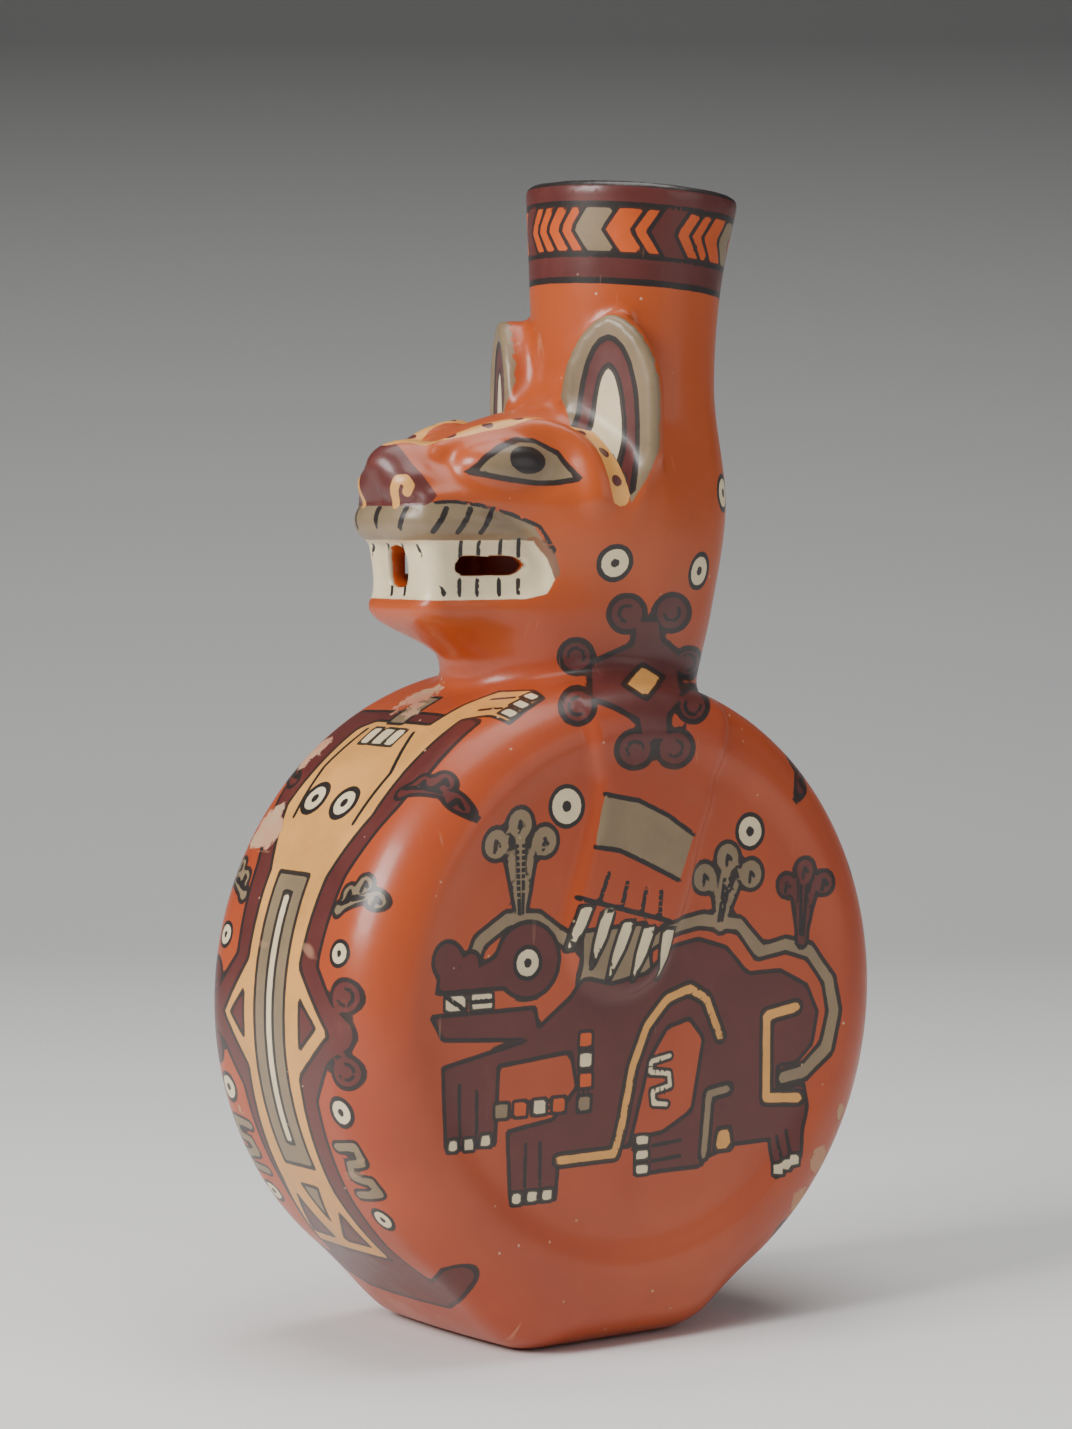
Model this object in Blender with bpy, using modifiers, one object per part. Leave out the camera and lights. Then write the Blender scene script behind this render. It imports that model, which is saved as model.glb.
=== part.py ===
"""Effigy bottle of fired clay: a disc-shaped body standing on its edge, with a spout
that rises out of the back of a snarling animal's head. The whole bottle is one hollow
piece. The animal faces -Y, the two painted faces of the disc look along +X and -X, and
the origin is in the middle of the underside. All sizes are in metres."""

import math

import bmesh
import bpy
import numpy as np
from mathutils import Matrix, Vector

# Body: a thick disc whose axis lies along X
BODY_RADIUS = 0.0925
BODY_THICKNESS = 0.0910
BODY_CORNER = 0.0165
BAND_BULGE = 0.0022
FACE_DOME = 0.0017
BODY_WALL = 0.0060
FOOT_LIFT = 0.0015
FOOT_TURN = math.radians(-4.8)
FOOT_REACH = math.radians(30.0)
FOOT_SOFT = math.radians(6.0)
FOOT_SPLAY = 0.0310
FOOT_GRIP = 0.60
FOOT_ROUND = 0.0045

# Shallow round field on each face, and the foreleg carved over its edge
RECESS_RADIUS = 0.0705
RECESS_RISE = 0.0030
RECESS_DEPTH = 0.0016
RECESS_SLOPE = 0.0055
FORELEG_RISE = 0.0024
FORELEG_SLOPE = 0.0022
FORELEG = (  # place along Y, height from the disc's centre and half width, as shares of the radius
    (0.100, 1.100, 0.360), (0.076, 0.951, 0.286), (0.063, 0.800, 0.246), (0.054, 0.670, 0.216),
    (0.022, 0.546, 0.200), (-0.022, 0.400, 0.202), (-0.081, 0.243, 0.195))

# Spout: it stands on the disc behind the head and leans back a little
NECK_HEIGHT = 0.1350
NECK_Y = 0.0230
NECK_LEAN = 0.0068
WAIST_RADIUS = 0.0236
SHOULDER_RADIUS = 0.0274
BULGE_RADIUS = 0.0302
THROAT_RADIUS = 0.0261
FLARE_RADIUS = 0.0274
LIP_RADIUS = 0.0305
NECK_WALL = 0.0050
LIP_WALL = 0.0042
RIM_SLOPE = 0.075
RIM_ROUND = 0.0030

# Head: the carving is laid out in eightieths of the head's length
HEAD_LENGTH = 0.0800
HEAD_LIFT = 0.0035
U = HEAD_LENGTH / 80.0
TEETH_SET_BACK = 0.0010
CHEEK_DEPTH = 0.0042
TEETH_WALL = 0.0064
HOLE_Z = 26.0 * U
HOLE_WIDTH = 0.0095
HOLE_HEIGHT = 0.0120
SLOT_HEIGHT = 0.0052
SLOT_LENGTH = 0.0205
SLOT_SET_BACK = 0.0010
ROOM_HEIGHT = 0.0120
ROOM_REAR = -0.0120
ROOM_HALF_WIDTH = 19.0 * U
ROOM_TAPER = 0.42

# Ears: two flat leaves set against the spout
EAR_HEIGHT = 0.0535
EAR_WIDTH = 0.0302
EAR_THICKNESS = 0.0068
EAR_DISH = 0.0009
EAR_RIM = 0.0080
EAR_ROOT = 0.0120
EAR_TIP = 42.0 * U
EAR_OUT = 0.0263
EAR_BACK = 0.0041
EAR_TURN = math.radians(26.0)
EAR_BEND = 0.56
EAR_SHIFT = -0.04
EAR_POINT = 1.24
EAR_TUCK = 0.0060
EAR_TUCK_HEIGHT = 0.0140

# Fillets where the parts of the bottle run into each other
BODY_FILLET = 0.0070
EAR_FILLET = 0.0045
EAR_EDGE = 0.0025
HEAD_FILLET = 10.0 * U
BROW_FILLET = 5.0 * U
EYE_FILLET = 4.0 * U
NOSE_FILLET = 3.0 * U
MOUTH_EDGE = 2.5 * U
LIP_FILLET = 1.5 * U

# Faceting of the finished solid
GRAIN = 0.0016
OUTER_TRIANGLES = 6900
STEP = 2.0e-4
FLAT_SNAP = 2.0e-4
OVERRUN = 0.0040

BODY_Z = BODY_RADIUS + FOOT_LIFT
BODY_TOP = BODY_Z + BODY_RADIUS
SPOUT_LOW = BODY_Z + 0.56 * BODY_RADIUS
RIM_Z = BODY_TOP + NECK_HEIGHT
RIM_Y = NECK_Y + NECK_LEAN
HEAD_Z = BODY_TOP + HEAD_LIFT
HEAD_HEIGHT = 70.0 * U

# Spout stations: share of its height, share of its lean, radius
NECK = np.array([
    (-0.30, 0.00, WAIST_RADIUS), (-0.06, 0.00, WAIST_RADIUS), (0.12, 0.20, SHOULDER_RADIUS),
    (0.325, 0.42, BULGE_RADIUS), (0.59, 0.56, THROAT_RADIUS), (0.80, 0.66, FLARE_RADIUS),
    (1.00, 1.05, LIP_RADIUS), (1.12, 1.20, LIP_RADIUS * 1.04)])

# Head sections: height, front of the muzzle, half width there, half width at the ears
HEAD = U * np.array([
    (0.0, -30.0, 10.0, 23.0), (6.0, -43.0, 13.0, 26.5), (10.0, -50.0, 15.5, 29.0),
    (14.0, -53.0, 17.0, 30.5), (18.0, -52.0, 17.0, 31.2), (30.0, -52.5, 17.5, 32.5),
    (40.0, -54.5, 18.5, 33.8), (44.5, -55.0, 19.0, 34.5), (49.0, -53.0, 16.0, 33.8),
    (54.0, -48.0, 12.5, 32.2), (59.0, -43.5, 9.5, 29.0), (63.0, -33.5, 8.5, 24.5),
    (67.0, -20.0, 8.0, 18.5), (70.0, -6.0, 8.0, 12.0)])
HEAD_ROUND = 8.5 * U
TEETH_ROUND = 5.0 * U
HEAD_REAR = 14.0 * U
TEETH_LOW = 10.0 * U
TEETH_HIGH = 46.0 * U

# Edge of the open mouth seen from the side: place along Y, height above the jaw's underside
MOUTH = U * np.array([
    (-60.0, 45.0), (-48.0, 44.2), (-38.0, 42.5), (-31.0, 40.0), (-26.0, 37.0), (-21.5, 32.8), (-18.0, 28.0),
    (-16.0, 22.0), (-18.5, 18.0), (-24.0, 16.8), (-40.0, 16.6), (-60.0, 16.8)])

# Balls of clay in the head: centre and half sizes in head units, and rolls of clay laid on it:
# middle line (x, y, height) and thickness, one side of the face
UPPER_LIP = U * np.array([
    (0.0, -52.6, 38.2, 5.6), (7.0, -52.6, 38.2, 5.8), (12.8, -49.8, 38.2, 5.9), (15.4, -43.0, 38.2, 5.6),
    (18.0, -34.8, 37.4, 4.6), (20.5, -27.5, 36.2, 2.2)])
EYE = ((14.6, -25.0, 53.2), (11.6, 17.0, 8.8))
SKULL = ((0.0, 6.0, 40.0), (34.5, 33.0, 29.0))
THROAT = ((0.0, -3.5, 6.0), (27.0, 28.5, 30.0))
BRIDGE = ((0.0, -47.5, 53.5), (8.8, 12.5, 7.2))
NOSTRIL = ((5.5, -50.0, 48.0), (9.2, 8.8, 6.8))
BROW = U * np.array([
    (9.0, -43.0, 58.0, 2.0), (11.5, -33.0, 61.0, 3.0), (15.0, -23.5, 63.0, 3.3), (20.0, -15.0, 63.0, 3.4),
    (25.5, -8.5, 59.0, 3.3), (29.5, -6.0, 52.0, 3.2), (31.0, -6.0, 45.0, 3.0)])


def blend_min(a, b, width):
    """Union of two forms with a fillet of the given width."""
    h = np.clip(0.5 + 0.5 * (b - a) / width, 0.0, 1.0)
    return b * (1.0 - h) + a * h - width * h * (1.0 - h)


def blend_max(a, b, width):
    """Cut of two forms with a rounded edge of the given width."""
    return -blend_min(-a, -b, width)


def rise(low, high, x):
    """Smooth step from 0 at low to 1 at high."""
    t = np.clip((x - low) / (high - low), 0.0, 1.0)
    return t * t * (3.0 - 2.0 * t)


def smooth_through(x, table, column):
    """Smooth curve through a table's first column and the given one."""
    xs, ys = table[:, 0], table[:, column]
    x = np.clip(x, xs[0], xs[-1])
    slopes = np.gradient(ys, xs)
    i = np.clip(np.searchsorted(xs, x, side="right") - 1, 0, len(xs) - 2)
    width = xs[i + 1] - xs[i]
    t = (x - xs[i]) / width
    keep = (2 * t**3 - 3 * t**2 + 1) * ys[i] + (t**3 - 2 * t**2 + t) * width * slopes[i]
    return keep + (3 * t**2 - 2 * t**3) * ys[i + 1] + (t**3 - t**2) * width * slopes[i + 1]


def ball(p, centre, radii):
    """Distance to an ellipsoid given in head units."""
    half = U * np.array(radii)
    q = (p - U * np.array(centre)) / half
    reach = np.linalg.norm(q, axis=1)
    slope = np.linalg.norm(q / half, axis=1)
    return reach * (reach - 1.0) / np.maximum(slope, 1e-9)


def roll_points(rows, steps=3):
    """Points of a smooth line through rows of x, y, height and thickness."""
    ends = np.vstack([2 * rows[0] - rows[1], rows, 2 * rows[-1] - rows[-2]])
    out = []
    for before, a, b, after in zip(ends[:-3], ends[1:-2], ends[2:-1], ends[3:]):
        for t in np.arange(steps) / steps:
            out.append(0.5 * (2 * a + (b - before) * t + (2 * before - 5 * a + 4 * b - after) * t * t
                              + (3 * a - before - 3 * b + after) * t**3))
    out.append(rows[-1])
    return np.array(out)


def roll(p, rows):
    """Distance to a roll of clay laid along rows of x, y, height and thickness."""
    line = roll_points(rows)
    nearest = np.full(len(p), 1.0)
    for a, b in zip(line[:-1], line[1:]):
        along = b[:3] - a[:3]
        t = np.clip(((p - a[:3]) @ along) / (along @ along), 0.0, 1.0)
        gap = np.linalg.norm(p - a[:3] - t[:, None] * along, axis=1) - (a[3] + (b[3] - a[3]) * t)
        nearest = np.minimum(nearest, gap)
    return nearest


def head_plan(p, front, half_front, rear, half_rear, corner):
    """Distance in plan to a rounded trapezoid that widens from the muzzle to the ears."""
    x, y = p[:, 0], p[:, 1]
    front, a, b = front + corner, half_front - corner, half_rear - corner
    ex, ey = b - a, rear - front
    length = np.hypot(ex, ey)
    t = np.clip(((x - a) * ex + (y - front) * ey) / length**2, 0.0, 1.0)
    side = np.hypot(x - a - t * ex, y - front - t * ey)
    nose = np.hypot(x - np.clip(x, 0.0, a), y - front)
    back = np.hypot(x - np.clip(x, 0.0, b), y - rear)
    inside = ((x - a) * ey - (y - front) * ex < 0.0) & (y > front) & (y < rear)
    gap = np.minimum(np.minimum(side, nose), back)
    return np.where(inside, -gap, gap) - corner


def head_block(q):
    """The head before its mouth and eyes are carved."""
    front, half_front, half_rear = (smooth_through(q[:, 2], HEAD, column) for column in (1, 2, 3))
    return head_plan(q, front, half_front, HEAD_REAR, half_rear, np.minimum(HEAD_ROUND, 0.9 * half_front))


def teeth_wall(q):
    """The wall of teeth set back behind the lips and cheeks."""
    front, half_front, half_rear = (smooth_through(q[:, 2], HEAD, column) for column in (1, 2, 3))
    wall = head_plan(q, front + TEETH_SET_BACK, half_front - 0.2 * CHEEK_DEPTH, HEAD_REAR,
                     half_rear - 1.2 * CHEEK_DEPTH, TEETH_ROUND)
    return blend_max(wall, between(q[:, 2], TEETH_LOW, TEETH_HIGH), LIP_FILLET)


def between(z, low, high):
    """Distance outside the layer between two heights."""
    return np.maximum(low - z, z - high)


def head_form(p):
    """The animal's head, with its mouth cut back to the teeth."""
    q = np.column_stack([np.abs(p[:, 0]), p[:, 1], p[:, 2] - HEAD_Z])
    form = blend_max(head_block(q), between(q[:, 2], 0.0, HEAD_HEIGHT), EYE_FILLET)
    form = blend_min(form, ball(q, *SKULL), HEAD_FILLET)
    form = blend_min(form, ball(q, *EYE), EYE_FILLET)
    form = blend_max(form, -outline_distance(q[:, 1], q[:, 2], MOUTH), MOUTH_EDGE)
    form = blend_min(form, teeth_wall(q), LIP_FILLET)
    form = blend_min(form, roll(q, UPPER_LIP), LIP_FILLET)
    form = blend_min(form, blend_min(ball(q, *BRIDGE), ball(q, *NOSTRIL), EYE_FILLET), NOSE_FILLET)
    form = blend_min(form, roll(q, BROW), BROW_FILLET)
    return blend_min(form, ball(q, *THROAT), HEAD_FILLET)


def outline_distance(u, v, outline):
    """Distance to a closed outline of (u, v) points, negative inside it."""
    nearest = np.full(len(u), 1.0)
    inside = np.zeros(len(u), bool)
    for (au, av), (bu, bv) in zip(outline, np.roll(outline, -1, axis=0)):
        du, dv = bu - au, bv - av
        t = np.clip(((u - au) * du + (v - av) * dv) / (du * du + dv * dv), 0.0, 1.0)
        nearest = np.minimum(nearest, np.hypot(u - au - t * du, v - av - t * dv))
        crosses = (av <= v) != (bv <= v)
        inside ^= crosses & (u < au + (v - av) * du / np.where(crosses, dv, 1.0))
    return np.where(inside, -nearest, nearest)


def ear_outline():
    """Outline of an ear's leaf, from the foot that tucks into the cheek up its outer edge and over."""
    half = 0.5 * EAR_WIDTH
    bend = EAR_BEND * EAR_HEIGHT
    middle = EAR_SHIFT * EAR_WIDTH
    a = np.linspace(0.0, math.pi, 17)
    arch = np.column_stack([middle + half * np.sign(np.cos(a)) * np.abs(np.cos(a)) ** EAR_POINT,
                            bend + (EAR_HEIGHT - bend) * np.sin(a)])
    foot = middle + half - EAR_TUCK
    return np.vstack([(foot, 0.0), (middle + half, EAR_TUCK_HEIGHT), arch, (foot - EAR_TUCK, 0.0)])


def ear_form(p):
    """A leaf-shaped ear, dished in front."""
    x = np.abs(p[:, 0]) - EAR_OUT
    y = p[:, 1] - EAR_BACK
    u = x * math.cos(EAR_TURN) + y * math.sin(EAR_TURN)
    w = x * math.sin(EAR_TURN) - y * math.cos(EAR_TURN)
    v = p[:, 2] - HEAD_Z - EAR_TIP
    edge = outline_distance(u, v, ear_outline())
    dish = EAR_DISH * (1.0 - rise(-EAR_RIM, 0.0, edge))
    back = 0.6 * EAR_THICKNESS + EAR_ROOT * np.clip((0.3 * EAR_WIDTH - u) / EAR_WIDTH, 0.0, 1.0)
    leaf = np.maximum(w - 0.4 * EAR_THICKNESS + dish, -w - back)
    return blend_max(edge, leaf, EAR_EDGE)


def foreleg_edge(p):
    """Distance along the face to the outline of the carved foreleg."""
    rows = BODY_RADIUS * np.array(FORELEG)
    y, z = p[:, 1], p[:, 2] - BODY_Z
    nearest = np.full(len(p), 1.0)
    for (ay, az, ar), (by, bz, br) in zip(rows[:-1], rows[1:]):
        vy, vz = by - ay, bz - az
        t = np.clip(((y - ay) * vy + (z - az) * vz) / (vy * vy + vz * vz), 0.0, 1.0)
        nearest = np.minimum(nearest, np.hypot(y - ay - t * vy, z - az - t * vz) - (ar + (br - ar) * t))
    return nearest


def disc_outline(p):
    """Distance to the disc's outline from the side: a circle that swells and is pressed flat below."""
    x, y, z = np.abs(p[:, 0]), p[:, 1], p[:, 2]
    band = BODY_RADIUS - BAND_BULGE * np.clip(2.0 * x / BODY_THICKNESS, 0.0, 1.2) ** 2
    turn = np.abs(np.arctan2(y, BODY_Z - z) - FOOT_TURN)
    swell = FOOT_SPLAY * blend_max(FOOT_REACH - turn, 0.0, FOOT_SOFT)
    return blend_max(np.hypot(y, z - BODY_Z) - band - swell, -z, FOOT_ROUND)


def body_form(p):
    """The disc with its shallow fields and forelegs."""
    x = np.abs(p[:, 0])
    half = 0.5 * BODY_THICKNESS
    reach = np.hypot(p[:, 1], p[:, 2] - BODY_Z)
    a = disc_outline(p) + BODY_CORNER
    b = x - (half - FACE_DOME * (reach / BODY_RADIUS) ** 2 - BODY_CORNER)
    form = np.minimum(np.maximum(a, b), 0.0) + np.hypot(np.maximum(a, 0.0), np.maximum(b, 0.0)) - BODY_CORNER
    on_face = rise(0.70, 0.97, x / half)
    from_field = np.hypot(p[:, 1], p[:, 2] - BODY_Z - RECESS_RISE) - RECESS_RADIUS
    form = form + RECESS_DEPTH * on_face * (1.0 - rise(-RECESS_SLOPE, RECESS_SLOPE, from_field))
    return form - FORELEG_RISE * on_face * (1.0 - rise(-FORELEG_SLOPE, FORELEG_SLOPE, foreleg_edge(p)))


def neck_radius(z):
    """Centre along Y and outer radius of the spout at a height."""
    share = (z - BODY_TOP) / NECK_HEIGHT
    return NECK_Y + NECK_LEAN * smooth_through(share, NECK, 1), smooth_through(share, NECK, 2)


def bottle_form(p):
    """Signed distance, near enough, to the outside of the bottle."""
    centre, radius = neck_radius(p[:, 2])
    spout = np.maximum(np.hypot(p[:, 0], p[:, 1] - centre) - radius, SPOUT_LOW - p[:, 2])
    form = blend_min(spout, head_form(p), HEAD_FILLET)
    form = blend_min(form, ear_form(p), EAR_FILLET)
    form = blend_min(form, body_form(p), BODY_FILLET)
    rim = p[:, 2] - RIM_Z + RIM_SLOPE * (p[:, 1] - RIM_Y)
    return blend_max(form, rim, RIM_ROUND)


def new_object(name, mesh, group):
    """Put a mesh into the scene under a name."""
    item = bpy.data.objects.new(name, mesh)
    group.objects.link(item)
    return item


def turned(name, profile, group, segments, axis="Z"):
    """A turned solid: its profile of (radius, height) spun with the Screw modifier."""
    mesh = bpy.data.meshes.new(name)
    item = new_object(name, mesh, group)
    shape = bmesh.new()
    points = [shape.verts.new((radius, 0.0, height)) for radius, height in profile]
    for upper, lower in zip(points[:-1], points[1:]):
        shape.edges.new((upper, lower))
    shape.to_mesh(mesh)
    shape.free()
    screw = item.modifiers.new("Turn", "SCREW")
    screw.axis = "Z"
    screw.steps = segments
    screw.render_steps = segments
    screw.use_merge_vertices = True
    screw.merge_threshold = 0.00001
    screw.use_smooth_shade = True
    apply_modifiers(item)
    if axis == "X":
        for vertex in item.data.vertices:
            x, y, z = vertex.co
            vertex.co = (z, y, -x)
    return item


def apply_modifiers(item):
    """Replace an object's mesh by what its modifiers make of it."""
    graph = bpy.context.evaluated_depsgraph_get()
    graph.update()
    mesh = bpy.data.meshes.new_from_object(item.evaluated_get(graph))
    item.modifiers.clear()
    item.data = mesh


def join(items, name):
    """Join several meshes into the first one."""
    shape = bmesh.new()
    for item in items:
        shape.from_mesh(item.data)
    shape.to_mesh(items[0].data)
    shape.free()
    for item in items[1:]:
        bpy.data.objects.remove(item)
    items[0].name = name
    return items[0]


def remesh(item, size):
    """Fuse a joined mesh into one even skin."""
    skin = item.modifiers.new("Fuse", "REMESH")
    skin.mode = "VOXEL"
    skin.voxel_size = size
    apply_modifiers(item)


def carve(item, rounds):
    """Move a mesh's points along the form's slope until they lie on it."""
    mesh = item.data
    p = np.empty(3 * len(mesh.vertices))
    mesh.vertices.foreach_get("co", p)
    p = p.reshape(-1, 3)
    for _ in range(rounds):
        level = bottle_form(p)
        slope = np.column_stack([bottle_form(p + STEP * axis) - bottle_form(p - STEP * axis)
                                 for axis in np.eye(3)]) / (2.0 * STEP)
        steep = np.maximum((slope * slope).sum(axis=1), 0.25)
        move = -(level / steep)[:, None] * slope
        length = np.linalg.norm(move, axis=1)[:, None]
        p = p + move * np.minimum(1.0, 0.0030 / np.maximum(length, 1e-9))
    mesh.vertices.foreach_set("co", p.ravel())
    mesh.update()


def rounded_disc(radius, half, corner, steps=8):
    """Profile of a disc with rounded edges, from its upper centre down its outer side."""
    points = [(0.0, half), (0.5 * radius, half)]
    points += [(radius - corner + corner * math.sin(a), half - corner + corner * math.cos(a))
               for a in (0.5 * math.pi * i / steps for i in range(steps + 1))]
    points += [(r, -z) for r, z in reversed(points)]
    return points


def plate(name, outline, thickness, frame, group):
    """A flat outline of (u, v) points with thickness, placed by a frame."""
    curve = bpy.data.curves.new(name, "CURVE")
    curve.dimensions = "2D"
    curve.fill_mode = "BOTH"
    curve.extrude = 0.5 * thickness
    spline = curve.splines.new("POLY")
    spline.points.add(len(outline) - 1)
    for point, (u, v) in zip(spline.points, outline):
        point.co = (u, v, 0.0, 1.0)
    spline.use_cyclic_u = True
    return curve_to_mesh(name, curve, frame, group)


def rope(name, rows, side, group):
    """A roll of clay laid along rows of x, y, height and thickness on one side of the head."""
    curve = bpy.data.curves.new(name, "CURVE")
    curve.dimensions = "3D"
    curve.bevel_depth = 1.0
    curve.bevel_resolution = 2
    curve.use_fill_caps = True
    line = roll_points(rows)
    spline = curve.splines.new("POLY")
    spline.points.add(len(line) - 1)
    for point, (x, y, z, thickness) in zip(spline.points, line):
        point.co = (side * x, y, z, 1.0)
        point.radius = thickness
    return curve_to_mesh(name, curve, Matrix.Translation((0.0, 0.0, HEAD_Z)), group)


def curve_to_mesh(name, curve, frame, group):
    """A curve object's closed mesh with its caps welded."""
    item = new_object(name, curve, group)
    graph = bpy.context.evaluated_depsgraph_get()
    mesh = bpy.data.meshes.new_from_object(item.evaluated_get(graph))
    bpy.data.objects.remove(item)
    sheet = bmesh.new()
    sheet.from_mesh(mesh)
    bmesh.ops.remove_doubles(sheet, verts=sheet.verts, dist=0.00001)
    bmesh.ops.transform(sheet, matrix=frame, verts=sheet.verts)
    bmesh.ops.recalc_face_normals(sheet, faces=sheet.faces)
    sheet.to_mesh(mesh)
    sheet.free()
    return new_object(name, mesh, group)


def head_ring(height, front, half_front, half_rear, corner):
    """Outline in plan of the head at a height, from the middle of the muzzle round one side."""
    turn = math.atan2(half_rear - half_front, HEAD_REAR - front - corner)
    ring = [(0.0, front, height)]
    for i in range(6):
        a = (0.5 * math.pi - turn) * i / 5.0
        x, y = half_front - corner + corner * math.sin(a), front + corner - corner * math.cos(a)
        ring.append((x, y, height))
    return ring + [(half_rear, HEAD_REAR, height), (0.0, HEAD_REAR, height)]


def head_loft(name, heights, set_back, side_back, corner_limit, group):
    """A loft through the head's sections, or through them set back under the skin."""
    shape = bmesh.new()
    loops = []
    for height in heights:
        z = np.array([height])
        front, half_front, half_rear = (float(smooth_through(z, HEAD, column)[0]) for column in (1, 2, 3))
        half_front -= 0.2 * side_back
        corner = min(corner_limit, 0.9 * half_front)
        ring = head_ring(height + HEAD_Z, front + set_back, half_front, half_rear - 1.2 * side_back, corner)
        ring += [(-x, y, z) for x, y, z in ring[-2:0:-1]]
        loops.append([shape.verts.new(point) for point in ring])
    for lower, upper in zip(loops[:-1], loops[1:]):
        for i in range(len(lower)):
            j = (i + 1) % len(lower)
            shape.faces.new((lower[i], lower[j], upper[j], upper[i]))
    shape.faces.new(loops[0])
    shape.faces.new(loops[-1])
    bmesh.ops.recalc_face_normals(shape, faces=shape.faces)
    mesh = bpy.data.meshes.new(name)
    shape.to_mesh(mesh)
    shape.free()
    return new_object(name, mesh, group)


def egg(name, centre, radii, group):
    """A ball of clay on the head, in head units."""
    mesh = bpy.data.meshes.new(name)
    shape = bmesh.new()
    place = Matrix.Translation(U * Vector(centre) + Vector((0.0, 0.0, HEAD_Z)))
    bmesh.ops.create_uvsphere(shape, u_segments=48, v_segments=24, radius=1.0,
                              matrix=place @ Matrix.Diagonal((*(U * Vector(radii)), 1.0)))
    shape.to_mesh(mesh)
    shape.free()
    return new_object(name, mesh, group)


def ear_mass(side, group):
    """One ear as a flat leaf set against the spout."""
    across = Vector((side * math.cos(EAR_TURN), math.sin(EAR_TURN), 0.0))
    outward = Vector((side * math.sin(EAR_TURN), -math.cos(EAR_TURN), 0.0))
    frame = Matrix((across, Vector((0.0, 0.0, 1.0)), outward)).transposed().to_4x4()
    frame.translation = Vector((side * EAR_OUT, EAR_BACK, HEAD_Z + EAR_TIP)) - 0.1 * EAR_THICKNESS * outward
    return plate("EarMass", ear_outline(), EAR_THICKNESS, frame, group)


def head_masses(group):
    """The head as a potter builds it up: a block with its mouth cut out, then teeth, lip, nose and brows."""
    block_heights = np.linspace(0.2 * U, HEAD_HEIGHT, 30)
    skull = head_loft("HeadBlock", block_heights, 0.0, 0.0, HEAD_ROUND, group)
    across = Matrix(((0.0, 0.0, 1.0), (1.0, 0.0, 0.0), (0.0, 1.0, 0.0))).to_4x4()
    across.translation = Vector((0.0, 0.0, HEAD_Z))
    mouth = plate("MouthMass", MOUTH, 1.25 * HEAD_LENGTH, across, group)
    cut(skull, mouth)
    apply_modifiers(skull)
    bpy.data.objects.remove(mouth)
    teeth_heights = np.linspace(TEETH_LOW + U, TEETH_HIGH - U, 12)
    masses = [skull, head_loft("TeethMass", teeth_heights, TEETH_SET_BACK, CHEEK_DEPTH, TEETH_ROUND, group)]
    masses += [egg(name, centre, radii, group) for name, (centre, radii) in
               (("SkullMass", SKULL), ("ThroatMass", THROAT), ("BridgeMass", BRIDGE))]
    for side in (-1.0, 1.0):
        masses += [egg(name, (side * centre[0], centre[1], centre[2]), radii, group)
                   for name, (centre, radii) in (("EyeMass", EYE), ("NostrilMass", NOSTRIL))]
        masses += [rope("LipMass", UPPER_LIP, side, group), rope("BrowMass", BROW, side, group)]
        masses.append(ear_mass(side, group))
    return masses


def spout_solid(name, low, high, wall, segments, group):
    """A turned solid along the spout's leaning middle line, its side set in by a wall."""
    heights = np.linspace(high, low, 17)
    inside = np.minimum(heights, RIM_Z)
    radii = neck_radius(inside)[1] - wall(inside)
    item = turned(name, [(0.0, high)] + list(zip(radii, heights)) + [(0.0, low)], group, segments)
    for vertex in item.data.vertices:
        vertex.co.y += float(neck_radius(np.array([vertex.co.z]))[0][0])
    return item


def no_wall(heights):
    """The outside of the spout."""
    return np.zeros(len(heights))


def spout_wall(heights):
    """Thickness of the spout's wall at each height, thinner towards the lip."""
    return NECK_WALL + (LIP_WALL - NECK_WALL) * rise(RIM_Z - LIP_RADIUS, RIM_Z, heights)


def clay_masses(group):
    """The rough masses of clay, close to the form before it is carved."""
    disc = turned("DiscMass", rounded_disc(BODY_RADIUS, 0.5 * BODY_THICKNESS, BODY_CORNER), group, 96, "X")
    disc.data.transform(Matrix.Translation((0.0, 0.0, BODY_Z)))
    spout = spout_solid("SpoutMass", SPOUT_LOW, RIM_Z + 0.5 * OVERRUN, no_wall, 64, group)
    foot_x = 0.5 * BODY_THICKNESS - BODY_CORNER
    foot_ends = [BODY_Z * math.tan(FOOT_TURN + side * FOOT_GRIP * FOOT_REACH) for side in (-1.0, 1.0)]
    foot = block("FootMass", (-foot_x, foot_ends[0], FLAT_SNAP),
                 (foot_x, foot_ends[1], 2.0 * BODY_CORNER - FOOT_LIFT), 0.4 * FOOT_ROUND, group)
    apply_modifiers(foot)
    return [disc, spout, foot] + head_masses(group)


def thin_out(item, triangles):
    """Reduce a mesh to about a number of triangles."""
    thin = item.modifiers.new("Facet", "DECIMATE")
    mesh = item.data
    mesh.calc_loop_triangles()
    thin.ratio = triangles / len(mesh.loop_triangles)
    apply_modifiers(item)


def cut(item, cutter):
    """Subtract a closed cutter from the bottle."""
    tool = item.modifiers.new(cutter.name, "BOOLEAN")
    tool.operation = "DIFFERENCE"
    tool.solver = "EXACT"
    tool.object = cutter
    cutter.hide_render = True
    cutter.display_type = "WIRE"


def hollow_cutters(group):
    """Solids of the empty space inside: the chamber of the disc and the bore of the spout."""
    radius = BODY_RADIUS - BAND_BULGE - BODY_WALL
    half = 0.5 * BODY_THICKNESS - FACE_DOME - RECESS_DEPTH - BODY_WALL
    corner = min(BODY_CORNER, 0.45 * half)
    chamber = turned("ChamberCutter", rounded_disc(radius, half, corner, 5), group, 48, "X")
    chamber.data.transform(Matrix.Translation((0.0, 0.0, BODY_Z)))
    bore = spout_solid("BoreCutter", BODY_Z + 0.8 * radius, RIM_Z + 2.5 * OVERRUN, spout_wall, 40, group)
    return [chamber, bore]


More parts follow.
